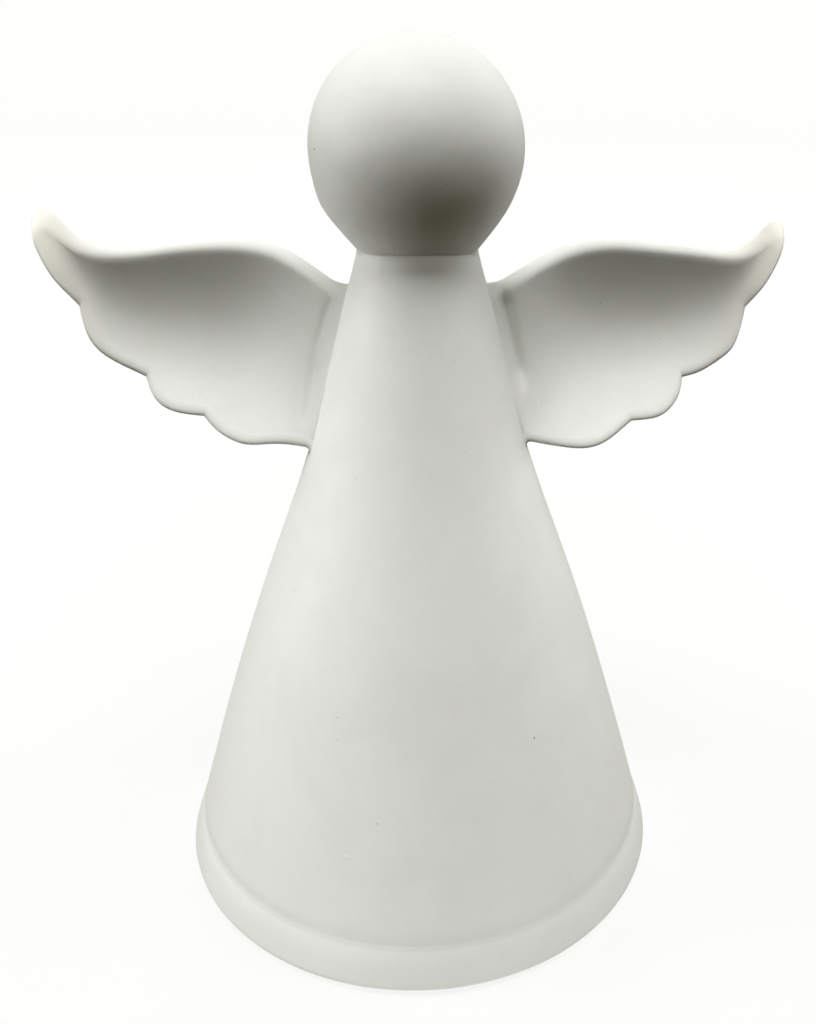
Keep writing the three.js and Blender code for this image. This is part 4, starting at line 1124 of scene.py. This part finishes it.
def wing_shell(s, wing, name, side):
    """A wing as a loop of front, lower edge, back and upper edge, carried along ribs from root to tip. Near
    the gown the skin swells by the fillet r - sqrt(r^2 - (r - d)^2) of its distance d, less towards the lower
    edge by 1 - v^8 with v the share down the rib. Near its inner end the skin sinks into the gown by a smooth
    step, and what lies inside the gown is laid against its wall."""
    upper, top, low = wing_ribs(wing, name)
    across = low - top
    drop = np.maximum(np.linalg.norm(across, axis=1), LEAST_LENGTH)[:, None]
    outward = across / drop
    half = np.minimum(wing.thickness / 2, NARROW_SHARE * drop)

    face = (1 - np.cos(np.linspace(0, math.pi, FACE_POINTS))) / 2
    arc = np.linspace(0, math.pi, EDGE_POINTS)[1:-1]
    flat, bend = np.ones(len(face)), np.ones(len(arc))
    part = np.concatenate([face, bend, face[::-1], 0 * bend])[None]
    back = np.concatenate([-flat, -np.cos(arc), flat, np.cos(arc)])[None]
    reach = np.concatenate([0 * flat, np.sin(arc), 0 * flat, -np.sin(arc)])[None]

    def places(swell, tail):
        out = half + (drop - 2 * half) * part + reach * (half + tail)
        x = top[:, :1] + outward[:, :1] * out
        z = top[:, 1:] + outward[:, 1:] * out
        depth, below = wing_depth(wing, upper, x, z)
        near_root = np.exp(-(((x - wing.start) / LIP_ROOT_REACH) ** 2))
        lip = wing.lip_round * (1 - LIP_ROOT_SHARE * near_root)
        lip = lip * np.clip(1 - below / wing.lip_depth, 0, 1) ** 2 * (1 - back) / 2
        return x, depth + back * (half + swell) + lip * np.minimum(half / (wing.thickness / 2), 1), z

    profile = gown_side(s)[::-1]

    def gown_wall(z):
        return np.interp(z, profile[:, 1], profile[:, 0])

    x, y, z = places(0, 0)
    away = np.hypot(x, y) - gown_wall(z)

    def fillet(lowest, highest):
        radius = np.interp(z, [wing.low, wing.luting_top], [lowest, highest])
        near = np.clip(radius - away, 0, radius)
        return radius - np.sqrt(radius**2 - near**2)

    swell = fillet(wing.luting_low, wing.luting_high) * (1 - part**SWELL_POWER)
    swell = swell - tooled_depth(x, z, ROOT_LINES[name]) * (back < 0)
    x, y, z = places(swell, fillet(wing.luting_foot, wing.luting_crotch))
    ends = [[np.full((1, part.size), axis[i].mean()) for axis in (x, y, z)] for i in (0, -1)]
    x, y, z = (np.vstack([first, axis, last]) for first, axis, last in zip(ends[0], (x, y, z), ends[1]))
    from_end = (z - top[0, 1]) * outward[0, 0] - (x - top[0, 0]) * outward[0, 1]
    risen = np.clip(from_end / wing.root_run, 0, 1)
    radius = np.hypot(x, y)
    flush = gown_wall(z) - ROOT_COVER
    laid = np.minimum(radius, flush) + np.maximum(radius - flush, 0) * risen**2 * (3 - 2 * risen)
    scale = np.maximum(laid, gown_wall(z) - wing.root_sink) / radius
    return shell(np.stack([side * x * scale, y * scale, z], -1))


class ANGEL_OT_gown(bpy.types.Operator):
    """Casts the hollow gown with its hem band and its foot"""

    bl_idname = "angel.gown"
    bl_label = "Gown"

    def execute(self, context):
        s = context.scene.angel_porcelain
        points, faces = turned(refined(gown_outline(s), spacing=1.4 * MM), steps=256, closed=True)
        points = cast_waver(points, s.cast_waver, s.neck_height)
        new_piece("gown", [(points, faces)], "angel", Finishes.get(bisque), ("gown_shell",))
        return {"FINISHED"}


class ANGEL_OT_head(bpy.types.Operator):
    """Casts the hollow ball head and the slip that it is set in"""

    bl_idname = "angel.head"
    bl_label = "Head"

    def execute(self, context):
        s = context.scene.angel_porcelain
        points, faces = turned(refined(head_outline(s), spacing=0.6 * MM), steps=208)
        points = settled(s, cast_waver(points, s.cast_waver / 2, s.head_radius))
        new_piece("head", [(points, faces)], "angel", Finishes.get(bisque), ("head_shell",))
        new_piece("neck_slip_seam", [slip_seam(s)], "angel", Finishes.get(bisque))
        return {"FINISHED"}


class ANGEL_OT_wings(bpy.types.Operator):
    """Casts the two dished wings with scalloped feathers, luted to the gown"""

    bl_idname = "angel.wings"
    bl_label = "Wings"

    def execute(self, context):
        s = context.scene.angel_porcelain
        for name, side in (("wing_right", 1), ("wing_left", -1)):
            skin = wing_shell(s, context.scene.angel_wings, name, side)
            new_piece(name + "_cast", [skin], "angel", Finishes.get(bisque), (name,))
        return {"FINISHED"}


class ANGEL_OT_pads(bpy.types.Operator):
    """Sets the silicone pads under the foot"""

    bl_idname = "angel.pads"
    bl_label = "Foot pads"

    def execute(self, context):
        lower_rounding_share, upper_rounding_share = 0.3, 0.15
        clear = Finishes.get(rubber, "Pad silicone", "pad", 0.48)
        for number in range(1, 5):
            name = f"foot_pad_{number}"
            low, high, middle = box_middle(name)
            radius, top = (high.x - low.x) / 2, high.z
            corners = [(0, 0), (radius, 0, lower_rounding_share * top)]
            corners += [(radius, top, upper_rounding_share * top), (0, top)]
            skin = turned(refined(rounded(corners), spacing=0.4 * MM), steps=64, centre=middle)
            new_piece(name + "_moulded", [skin], "angel", clear, (name,))
        return {"FINISHED"}


# Light module

# Roundings of the module's edges
FINE_EDGE = 0.1 * MM
SMALL_EDGE = 0.2 * MM
HOLE_EDGE = 0.25 * MM
RIM_EDGE = 0.3 * MM
COVER_SHOULDER_SHARE = 2.2
# Gap between the cover and the grip ring
RING_CLEARANCE = 0.3 * MM
# A screw's cross recess: half a blade's width, the runs of its sides and ends, its reach as a share of the
# head, and its depth. Then the rise of the head's crown and the length of the point
BLADE_HALF_WIDTH = 0.32 * MM
BLADE_SIDE = 0.12 * MM
BLADE_END = 0.15 * MM
BLADE_SHARE = 0.72
BLADE_DEPTH = 0.6 * MM
SCREW_CROWN = 0.25 * MM
SCREW_POINT = 0.6 * MM
# A lamp's flange: how far it stands out, its thickness and the rounding of its foot
LAMP_FLANGE = 0.4 * MM
LAMP_FLANGE_HEIGHT = 1 * MM
LAMP_FOOT_EDGE = 0.15 * MM


class ANGEL_OT_housing(bpy.types.Operator):
    """Moulds the light module's base and cover, its grip ring and its screws"""

    bl_idname = "angel.housing"
    bl_label = "Module housing"

    def execute(self, context):
        m = context.scene.angel_module
        white = Finishes.get(moulding)
        name, edge = "module_base_moulded", m.moulded_edge
        moulded_copy("module_base", name, "light_module", white, edge)
        self.cover(m, white)
        self.ring(m)
        for number in range(1, 4):
            self.screw(m, f"cover_screw_{number}")
        return {"FINISHED"}

    def cover(self, m, white):
        """The cup: wall and roof, with the hole under the dome."""
        low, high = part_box("module_cover")
        outer = high.x
        hole = dome_high.x - m.dome_lip - m.dome_wall
        corners = [
            (outer - m.wall / 2, low.z),
            (outer, low.z, RIM_EDGE),
            (outer, high.z, COVER_SHOULDER_SHARE * m.wall),
            (hole, high.z, HOLE_EDGE),
            (hole, high.z - m.wall, HOLE_EDGE),
            (outer - m.wall, high.z - m.wall, m.wall),
            (outer - m.wall, low.z, RIM_EDGE),
            (outer - m.wall / 2, low.z),
        ]
        cup = turned(refined(rounded(corners)[:-1], spacing=1.2 * MM), steps=192, closed=True)
        name, stands_for = "module_cover_moulded", ("module_cover",)
        new_piece(name, [cup], "light_module", white, stands_for, sharp=40)

    def ring(self, m):
        """The ring's outer side is two round beads: r = outer - bead (1 + cos 4 pi u) / 2."""
        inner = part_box("module_cover")[1].x + RING_CLEARANCE
        u = np.linspace(0, 1, 40)
        height = ring_low.z + (ring_high.z - ring_low.z) * u
        beads = ring_high.x - m.grip_bead * (1 + np.cos(4 * math.pi * u)) / 2
        outline = np.vstack([np.stack([beads, height], -1), [(inner, ring_high.z), (inner, ring_low.z)]])
        skin = turned(outline, steps=192, closed=True)
        grey = Finishes.get(rubber, "Grip silicone", "silicone", 0.62)
        stands_for = ("grip_ring",)
        new_piece("grip_ring_moulded", [skin], "light_module", grey, stands_for, sharp=50)

    def screw(self, m, node):
        """A round head with a cross recess, as a height over circles, and its shank: the recess is deep where
        the smaller of |x| and |y| is under half the blade's width and the larger is under its length."""
        low, high, (x_middle, y_middle, _) = box_middle(node)
        radius = (high.x - low.x) / 2
        rings = np.linspace(0, 1, 30)[:, None]
        a = circle(96)[None]
        x = radius * rings * np.cos(a)
        y = radius * rings * np.sin(a)
        narrow = np.minimum(np.abs(x), np.abs(y))
        long = np.maximum(np.abs(x), np.abs(y))
        blade = np.clip((BLADE_HALF_WIDTH - narrow) / BLADE_SIDE, 0, 1)
        blade = blade * np.clip((BLADE_SHARE * radius - long) / BLADE_END, 0, 1)
        crown = SCREW_CROWN * (1 - np.sqrt(np.clip(1 - rings**4, 0, 1)))
        face = np.stack([x_middle + x, y_middle + y, low.z + crown + BLADE_DEPTH * blade], -1)
        head_top = low.z + m.screw_head
        shank = m.screw_shank
        below = np.array([(radius, head_top), (shank, head_top), (shank, high.z - SCREW_POINT), (0, high.z)])
        radii, heights = below[:, :1], below[:, 1:]
        sides = [x_middle + radii * np.cos(a), y_middle + radii * np.sin(a), heights + 0 * a]
        skin = shell(np.concatenate([face, np.stack(sides, -1)]))
        steel = Finishes.get(nickel)
        new_piece(node + "_turned", [skin], "light_module", steel, (node,), sharp=40)


class ANGEL_OT_dome(bpy.types.Operator):
    """Moulds the frosted dome over the lamps"""

    bl_idname = "angel.dome"
    bl_label = "Light dome"

    def execute(self, context):
        m = context.scene.angel_module
        outer = dome_high.x
        radius = outer - m.dome_lip
        lip_top = dome_low.z + m.dome_lip_height
        turn = quarter(48)

        def arch(reach, rise):
            return np.hstack([reach * np.cos(turn), lip_top + rise * np.sin(turn)])

        outside = arch(radius, dome_high.z - lip_top)
        inside = arch(radius - m.dome_wall, dome_high.z - lip_top - m.dome_wall)[::-1]
        corners = [
            *inside,
            (radius - m.dome_wall, dome_low.z, SMALL_EDGE),
            (outer, dome_low.z, SMALL_EDGE),
            (outer, lip_top, RIM_EDGE),
            (radius, lip_top, HOLE_EDGE),
            *outside[2:],
        ]
        skin = turned(refined(rounded(corners), spacing=0.8 * MM), steps=144)
        milky = Finishes.get(frosted)
        stands_for = ("light_diffuser",)
        new_piece("light_dome", [skin], "light_module", milky, stands_for, sharp=50)
        return {"FINISHED"}


class ANGEL_OT_electrics(bpy.types.Operator):
    """Finishes the board, the lamps, the resistor and the leads under the dome"""

    bl_idname = "angel.electrics"
    bl_label = "Board, lamps and leads"

    def execute(self, context):
        for number in range(1, 4):
            self.lamp(f"lamp_{number}")
        refinish("circuit_board", Finishes.get(board))
        refinish("resistor", Finishes.get(resistor_paint))
        for colour in ("red", "black", "white"):
            name = f"{colour.capitalize()} wire sleeve"
            refinish(f"lead_{colour}", Finishes.get(coated, name, f"{colour}_wire", 0.45))
        return {"FINISHED"}

    def lamp(self, node):
        """A round-nosed lamp: flange, straight body and a half round top."""
        low, high, middle = box_middle(node)
        flange = (high.x - low.x) / 2
        flange_top = low.z + LAMP_FLANGE_HEIGHT
        radius = flange - LAMP_FLANGE
        turn = quarter(20)
        nose = np.hstack([radius * np.cos(turn), high.z - radius + radius * np.sin(turn)])
        corners = [(0, low.z), (flange, low.z, LAMP_FOOT_EDGE), (flange, flange_top, SMALL_EDGE)]
        corners += [(radius, flange_top, FINE_EDGE), *nose]
        skin = turned(refined(rounded(corners, steps=4), spacing=0.5 * MM), steps=48, centre=middle)
        resin = Finishes.get(lamp_resin)
        new_piece(node + "_cast", [skin], "light_module", resin, (node,), sharp=50)


def refinish(node, material):
    """Gives a node that keeps its own solid a better material."""
    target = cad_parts[node]
    if not target.material_slots:
        target.data.materials.append(None)
    for material_slot in target.material_slots:
        material_slot.material = material


# A cell's outlines: distances along it, and shares of its radius
CAN_RECESS = 0.12 * MM
CAN_DEPTH = 0.7 * MM
CAN_SHARES = (0.55, 0.6, 0.9)
SLEEVE_CURL = 0.3 * MM
SLEEVE_START = 0.1 * MM
SLEEVE_ROUNDING = 0.4 * MM
SLEEVE_CURL_SHARE = 0.88
BAND_SHARE = 0.27
SHOULDER_ROUNDING = 0.9 * MM
SHOULDER_SHARES = (0.78, 0.74)
SHOULDER_STEP = 0.25 * MM
CAP_DEPTH = 0.5 * MM
CAP_RECESS = 0.12 * MM
CAP_SHARE = 0.7
NUB_FOOT_SHARE = 1.25
# What of a cell is bare steel: nearer to the axis than a share, and nearer to an end than a length
CAN_STEEL_SHARE = 0.905
CAN_STEEL = 0.25 * MM
CAP_STEEL_SHARE = 0.72
CAP_STEEL = 0.6 * MM


class ANGEL_OT_cells(bpy.types.Operator):
    """Fills the battery bay: cells, conical springs and contact plates"""

    bl_idname = "angel.cells"
    bl_label = "Cells and contacts"

    def execute(self, context):
        m = context.scene.angel_module
        for number in range(1, 4):
            facing = 1 if number % 2 else -1
            y, z = self.cell(m, f"battery_cell_{number}", facing)
            self.spring(m, f"battery_spring_{number}", y, z, facing)
        for node in ("contact_minus", "contact_plus", "contact_bridge_right", "contact_bridge_left"):
            refinish(node, Finishes.get(nickel))
        return {"FINISHED"}

    def cell(self, m, node, facing):
        """A round cell along X: a steel can end, a dark sleeve, a copper-coloured band, a shoulder and the
        nub. Gives back the y and z of its axis."""
        low, high, (_, y, z) = box_middle(node)
        radius = (high.z - low.z) / 2
        start, end = (low.x, high.x) if facing > 0 else (-high.x, -low.x)
        band_start = end - BAND_SHARE * (end - start)
        shoulder = end - m.nub_length
        wide, narrow = (part * radius for part in SHOULDER_SHARES)
        recess, ridge, can = (part * radius for part in CAN_SHARES)
        cap, foot = CAP_SHARE * radius, NUB_FOOT_SHARE * m.nub_radius
        dark = [
            (0, start + SLEEVE_CURL),
            (SLEEVE_CURL_SHARE * radius, start + SLEEVE_CURL),
            (radius, start + SLEEVE_START, SLEEVE_ROUNDING),
            (radius, band_start),
            (0, band_start),
        ]
        bright = [
            (0, band_start),
            (radius, band_start),
            (radius, shoulder, SHOULDER_ROUNDING),
            (wide, shoulder),
            (narrow, shoulder - SHOULDER_STEP),
            (0, shoulder - SHOULDER_STEP),
        ]
        minus = [
            (0, start + CAN_RECESS),
            (recess, start + CAN_RECESS),
            (ridge, start),
            (can, start, SMALL_EDGE),
            (can, start + CAN_DEPTH),
            (0, start + CAN_DEPTH),
        ]
        plus = [
            (0, shoulder - CAP_DEPTH),
            (cap, shoulder - CAP_DEPTH, FINE_EDGE),
            (cap, shoulder - CAP_RECESS, FINE_EDGE),
            (foot, shoulder - CAP_RECESS, SMALL_EDGE),
            (m.nub_radius, end, RIM_EDGE),
            (0, end),
        ]
        outlines = [refined(rounded(corners), spacing=2 * MM) for corners in (dark, bright, minus, plus)]
        skins = [turned_lengthwise(outline, 96, y, z, facing) for outline in outlines]
        sleeve = Finishes.get(foil, "Dark sleeve", "sleeve")
        piece = new_piece(node + "_wrapped", skins, "light_module", sleeve, (node,), sharp=40)
        piece.data.materials.append(Finishes.get(foil, "Copper band", "band"))
        piece.data.materials.append(Finishes.get(nickel))
        self.paint(piece, y, z, radius, facing, start, band_start, shoulder)
        return y, z

    def paint(self, piece, y, z, radius, facing, start, band_start, shoulder):
        """Chooses each face's finish from its middle: steel at the two ends, a band, and the dark sleeve."""
        middles = np.empty(len(piece.data.polygons) * 3, np.float32)
        piece.data.polygons.foreach_get("center", middles)
        middles = middles.reshape(-1, 3)
        x = middles[:, 0] * facing
        away = np.hypot(middles[:, 1] - y, middles[:, 2] - z)
        can_steel = (away < CAN_STEEL_SHARE * radius) & (x < start + CAN_STEEL)
        cap_steel = (away < CAP_STEEL_SHARE * radius) & (x > shoulder - CAP_STEEL)
        choice = np.where(can_steel | cap_steel, 2, np.where(x > band_start, 1, 0))
        piece.data.polygons.foreach_set("material_index", choice.astype(np.int32))

    def spring(self, m, node, y, z, facing):
        """A conical coil along X in line with its cell: the radius shrinks evenly over its turns."""
        low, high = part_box(node)
        wire = m.spring_wire / 2
        t = np.linspace(0, 1, 200)
        radius = ((high.z - low.z) / 2 - wire) * (1 - m.spring_taper * t)
        a = 2 * math.pi * m.spring_turns * t
        rise = (high.x - low.x - 2 * wire) * t
        x = low.x + wire + rise if facing > 0 else high.x - wire - rise
        path = np.stack([x, y + facing * radius * np.cos(a), z + radius * np.sin(a)], -1)
        coil = tube(path, wire, steps=14)
        steel = Finishes.get(nickel)
        new_piece(node + "_wound", [coil], "light_module", steel, (node,))


class ANGEL_OT_door(bpy.types.Operator):
    """Moulds the battery door with its finger ribs, and turns its hinge pin"""

    bl_idname = "angel.door"
    bl_label = "Battery door"

    def execute(self, context):
        white, edge = Finishes.get(moulding), context.scene.angel_module.moulded_edge
        moulded_copy("battery_door", "battery_door_moulded", "battery_door", white, edge)
        low, high, (_, y, z) = box_middle("hinge_pin")
        radius = (high.z - low.z) / 2
        corners = [(0, low.x), (radius, low.x, SMALL_EDGE), (radius, high.x, SMALL_EDGE), (0, high.x)]
        pin = turned_lengthwise(refined(rounded(corners), spacing=2 * MM), 32, y, z)
        steel, stands_for = Finishes.get(nickel), ("hinge_pin",)
        new_piece("hinge_pin_turned", [pin], "light_module", steel, stands_for, sharp=50)
        return {"FINISHED"}


class ANGEL_OT_switch(bpy.types.Operator):
    """Moulds the slide switch"""

    bl_idname = "angel.switch"
    bl_label = "Switch"

    def execute(self, context):
        edge = context.scene.angel_module.moulded_edge / 2
        black = Finishes.get(coated, "Switch plastic", "switch", 0.38)
        moulded_copy("switch_slider", "switch_knob_moulded", "switch_slider", black, edge)
        moulded_copy("switch_body", "switch_body_moulded", "light_module", black, edge)
        return {"FINISHED"}


# Stage

# Soft boxes: name, degrees round from the front towards +X, degrees up, distance, width, and the watts that
# reach the head, the wings and all the rest
SOFT_BOXES = [
    ("overhead", 0, 74, 1.1, 0.5, 6.5, 7.1, 7.1),
    ("above", 0, 90, 0.75, 0.2, 1.8, 1.2, 0),
    ("behind", 180, 32, 0.75, 0.4, 0.2, 0.4, 1.3),
    ("right_high", 90, 60, 0.7, 0.35, 0.5, 0.95, 1.11),
    ("right_side", 90, 30, 0.6, 0.3, 0, 0.33, 0.39),
    ("right_rear", 115, 4, 0.6, 0.3, 0.7, 1.12, 1.05),
    ("right_rear_high", 115, 30, 0.6, 0.3, 0.6, 0, 0),
    ("left_side", 270, 30, 0.6, 0.3, 0.5, 0.78, 1.33),
    ("left_low", 270, 4, 0.6, 0.3, 1.5, 0.58, 0.99),
    ("left_rear_high", 245, 30, 0.6, 0.3, 0, 0.7, 0),
    ("left_front", 310, 40, 0.6, 0.3, 0, 0.3, 0),
]
MIDDLE = Vector((0, 0, 0.085))
# Lamps for the gown or the base alone: name, place, target, width, height, watts and what they light
LOW_LAMPS = [
    ("gown_high", (0, -0.165, 0.662), MIDDLE, 0.25, 0.25, 0.94, "gown"),
    ("gown_low", (-0.025, -0.21, -0.02), (-0.01, -0.045, 0.01), 0.3, 0.06, 0.095, "gown"),
    ("from_below", (0.05, -0.12, -0.3), (0, 0, 0), 0.25, 0.25, 0.9, "base"),
]
FLOOR_HALF = 6.0
# The floor: the share that its clouds keep, their size, and the squared distance over which the lamps fade
CLOUD_SHARE = 0.97
CLOUD_SIZE = 60 * MM
LAMP_FADE = 0.7
# What the world adds for reflections
GLOSS_SHARE = 0.2


def floor_finish(settings):
    """Pale card: mostly its own glow, which grows outwards by as much as the soft boxes' light fades, so that
    the card is even to its far edge and has a soft shadow. It is seen from above only, so that the figure's
    underside can be looked at from below."""
    finish = Finish("Pale card", Roughness=0.9, Emission_Strength=1.0)
    w, place, shader = finish.wiring, finish.place, finish.shader
    own = 1 - settings.floor_glow
    pale = [own * value for value in settings.floor]
    cloudy = [CLOUD_SHARE * own * value for value in settings.floor]
    away = w.vector("DOT_PRODUCT", place, place)
    lit = w.sum("DIVIDE", LAMP_FADE, w.sum("ADD", away, LAMP_FADE))
    glow = w.sum("SUBTRACT", 1.0, w.sum("MULTIPLY", w.sum("MULTIPLY", lit, lit), settings.floor_lit))
    finish.set(
        Base_Color=w.mix(w.noise(place, 1 / CLOUD_SIZE, detail=3.0), solid(pale), solid(cloudy)),
        Emission_Color=w.mix(glow, (0, 0, 0, 1), solid(settings.floor)),
    )
    both = w.node("ShaderNodeMixShader")
    w.join(w.node("ShaderNodeNewGeometry").outputs["Backfacing"], both.inputs[0])
    w.join(shader.outputs[0], both.inputs[1])
    w.join(w.node("ShaderNodeBsdfTransparent").outputs[0], both.inputs[2])
    w.join(both.outputs[0], w.tree.nodes["Material Output"].inputs["Surface"])
    return finish.material


def studio_world(settings):
    """A weak warm light for the figure's surfaces, a little more for reflections, and a pale backdrop."""
    world = bpy.data.worlds.new("Studio")
    world.use_nodes = True
    w = Wiring(world.node_tree)
    rays = w.node("ShaderNodeLightPath").outputs
    seen = rays["Is Camera Ray"]
    strength = w.sum("MULTIPLY_ADD", rays["Is Glossy Ray"], GLOSS_SHARE, settings.room)
    strength = w.sum("MULTIPLY_ADD", seen, 1 - settings.room, strength)
    background = world.node_tree.nodes["Background"]
    w.join(strength, background.inputs["Strength"])
    w.join(w.mix(seen, solid(settings.room_colour), solid(settings.backdrop)), background.inputs["Color"])
    return world


def soft_light(name, place, target, width, height, power, pieces):
    """A plain soft box facing a target, whose light only reaches the pieces and that no camera sees."""
    data = bpy.data.lights.new(name, "AREA")
    data.shape = "RECTANGLE"
    data.size = width
    data.size_y = height
    data.energy = power
    light = bpy.data.objects.new(name, data)
    light.location = place
    light.rotation_euler = (Vector(target) - Vector(place)).to_track_quat("-Z", "Y").to_euler()
    light.visible_camera = False
    bpy.context.scene.collection.objects.link(light)
    lit = bpy.data.collections.new(name + " pieces")
    for piece in pieces:
        lit.objects.link(piece)
    light.light_linking.receiver_collection = lit


class ANGEL_OT_stage(bpy.types.Operator):
    """Sets the pale floor, the soft lights and the camera at the photograph's angle"""

    bl_idname = "angel.stage"
    bl_label = "Stage"

    def execute(self, context):
        settings = context.scene.angel_stage
        self.floor(settings)
        self.lights()
        self.camera(context, settings)
        context.scene.world = studio_world(settings)
        context.scene.view_settings.view_transform = "Standard"
        return {"FINISHED"}

    def floor(self, settings):
        """A large flat card: z = 0 out to its edges."""
        half = FLOOR_HALF
        corners = [(-half, -half, 0), (half, -half, 0), (half, half, 0), (-half, half, 0)]
        mesh = bpy.data.meshes.new("floor")
        mesh.from_pydata(corners, [], [(0, 1, 2, 3)])
        card = bpy.data.objects.new("floor", mesh)
        mesh.materials.append(floor_finish(settings))
        bpy.context.scene.collection.objects.link(card)
        card.visible_diffuse = False
        card.visible_glossy = False
        card.visible_shadow = False

    def lights(self):
        """Soft boxes on a sphere round the figure's middle, with watts of their own for the head, the wings
        and the rest, a high and a low one for the gown, and one from below that the floor doesn't get."""
        pieces = [piece for piece in bpy.data.objects if piece.type == "MESH"]
        lit = {
            "head": [piece for piece in pieces if piece.name in ("head", "neck_slip_seam")],
            "wings": [piece for piece in pieces if piece.name.startswith("wing_")],
            "gown": [piece for piece in pieces if piece.name == "gown"],
        }
        lit["rest"] = [piece for piece in pieces if piece not in lit["head"] + lit["wings"]]
        lit["base"] = [piece for piece in lit["rest"] if piece.name != "floor"]
        for name, round_to, up, distance, width, *watts in SOFT_BOXES:
            a, e = math.radians(round_to), math.radians(up)
            away = Vector((math.sin(a) * math.cos(e), -math.cos(a) * math.cos(e), math.sin(e)))
            place = MIDDLE + distance * away
            for power, label in zip(watts, ("head", "wings", "rest")):
                if power:
                    soft_light(f"{name}_{label}", place, MIDDLE, width, width, power, lit[label])
        for *lamp, label in LOW_LAMPS:
            soft_light(*lamp, lit[label])

    def camera(self, context, settings):
        """A pinhole fitted to the photograph: forward from yaw and pitch, rolled about itself, with the frame
        shifted so that the lens looks at its own pixel column."""
        sin, cos = math.sin, math.cos
        yaw, pitch, roll = settings.yaw, settings.pitch, settings.roll
        forward = Vector((sin(yaw) * cos(pitch), cos(yaw) * cos(pitch), -sin(pitch)))
        level = Vector((cos(yaw), -sin(yaw), 0))
        above = level.cross(forward)
        right = cos(roll) * level + sin(roll) * above
        top = cos(roll) * above - sin(roll) * level
        data = bpy.data.cameras.new("camera")
        data.sensor_fit = "VERTICAL"
        data.sensor_height = 36
        data.lens = data.sensor_height * settings.focal / settings.frame_height
        data.shift_x = (settings.frame_width / 2 - settings.centre_x) / settings.frame_height
        data.clip_start = 5 * MM
        camera = bpy.data.objects.new("camera", data)
        turn = Matrix((right, top, -forward)).transposed().to_4x4()
        place = Vector((settings.aside, -settings.distance, settings.height))
        camera.matrix_world = Matrix.Translation(place) @ turn
        bpy.context.scene.collection.objects.link(camera)
        context.scene.camera = camera


OPERATORS = (
    ANGEL_OT_gown,
    ANGEL_OT_head,
    ANGEL_OT_wings,
    ANGEL_OT_pads,
    ANGEL_OT_housing,
    ANGEL_OT_dome,
    ANGEL_OT_electrics,
    ANGEL_OT_cells,
    ANGEL_OT_door,
    ANGEL_OT_switch,
    ANGEL_OT_stage,
)
SETTINGS = {
    "angel_porcelain": PorcelainSizes,
    "angel_wings": WingSizes,
    "angel_module": ModuleSizes,
    "angel_colours": Colours,
    "angel_stage": StageSettings,
}


class ANGEL_PT_sidebar(bpy.types.Panel):
    """Lists the angel's pieces and sizes"""

    bl_idname = "ANGEL_PT_sidebar"
    bl_label = "Porcelain angel"
    bl_space_type = "VIEW_3D"
    bl_region_type = "UI"
    bl_category = "Angel"

    def draw(self, context):
        column = self.layout.column(align=True)
        for operator in OPERATORS:
            column.operator(operator.bl_idname)
        for name in SETTINGS:
            box = self.layout.box()
            group = getattr(context.scene, name)
            for key in group.__annotations__:
                box.prop(group, key)


def register():
    for group in SETTINGS.values():
        bpy.utils.register_class(group)
    for operator in (*OPERATORS, ANGEL_PT_sidebar):
        bpy.utils.register_class(operator)
    for name, group in SETTINGS.items():
        setattr(bpy.types.Scene, name, PointerProperty(type=group))


def unregister():
    for name in SETTINGS:
        delattr(bpy.types.Scene, name)
    for operator in (ANGEL_PT_sidebar, *reversed(OPERATORS)):
        bpy.utils.unregister_class(operator)
    for group in reversed(SETTINGS.values()):
        bpy.utils.unregister_class(group)


def main():
    register()
    for operator in OPERATORS:
        family, name = operator.bl_idname.split(".")
        getattr(getattr(bpy.ops, family), name)()


if __name__ == "__main__":
    main()
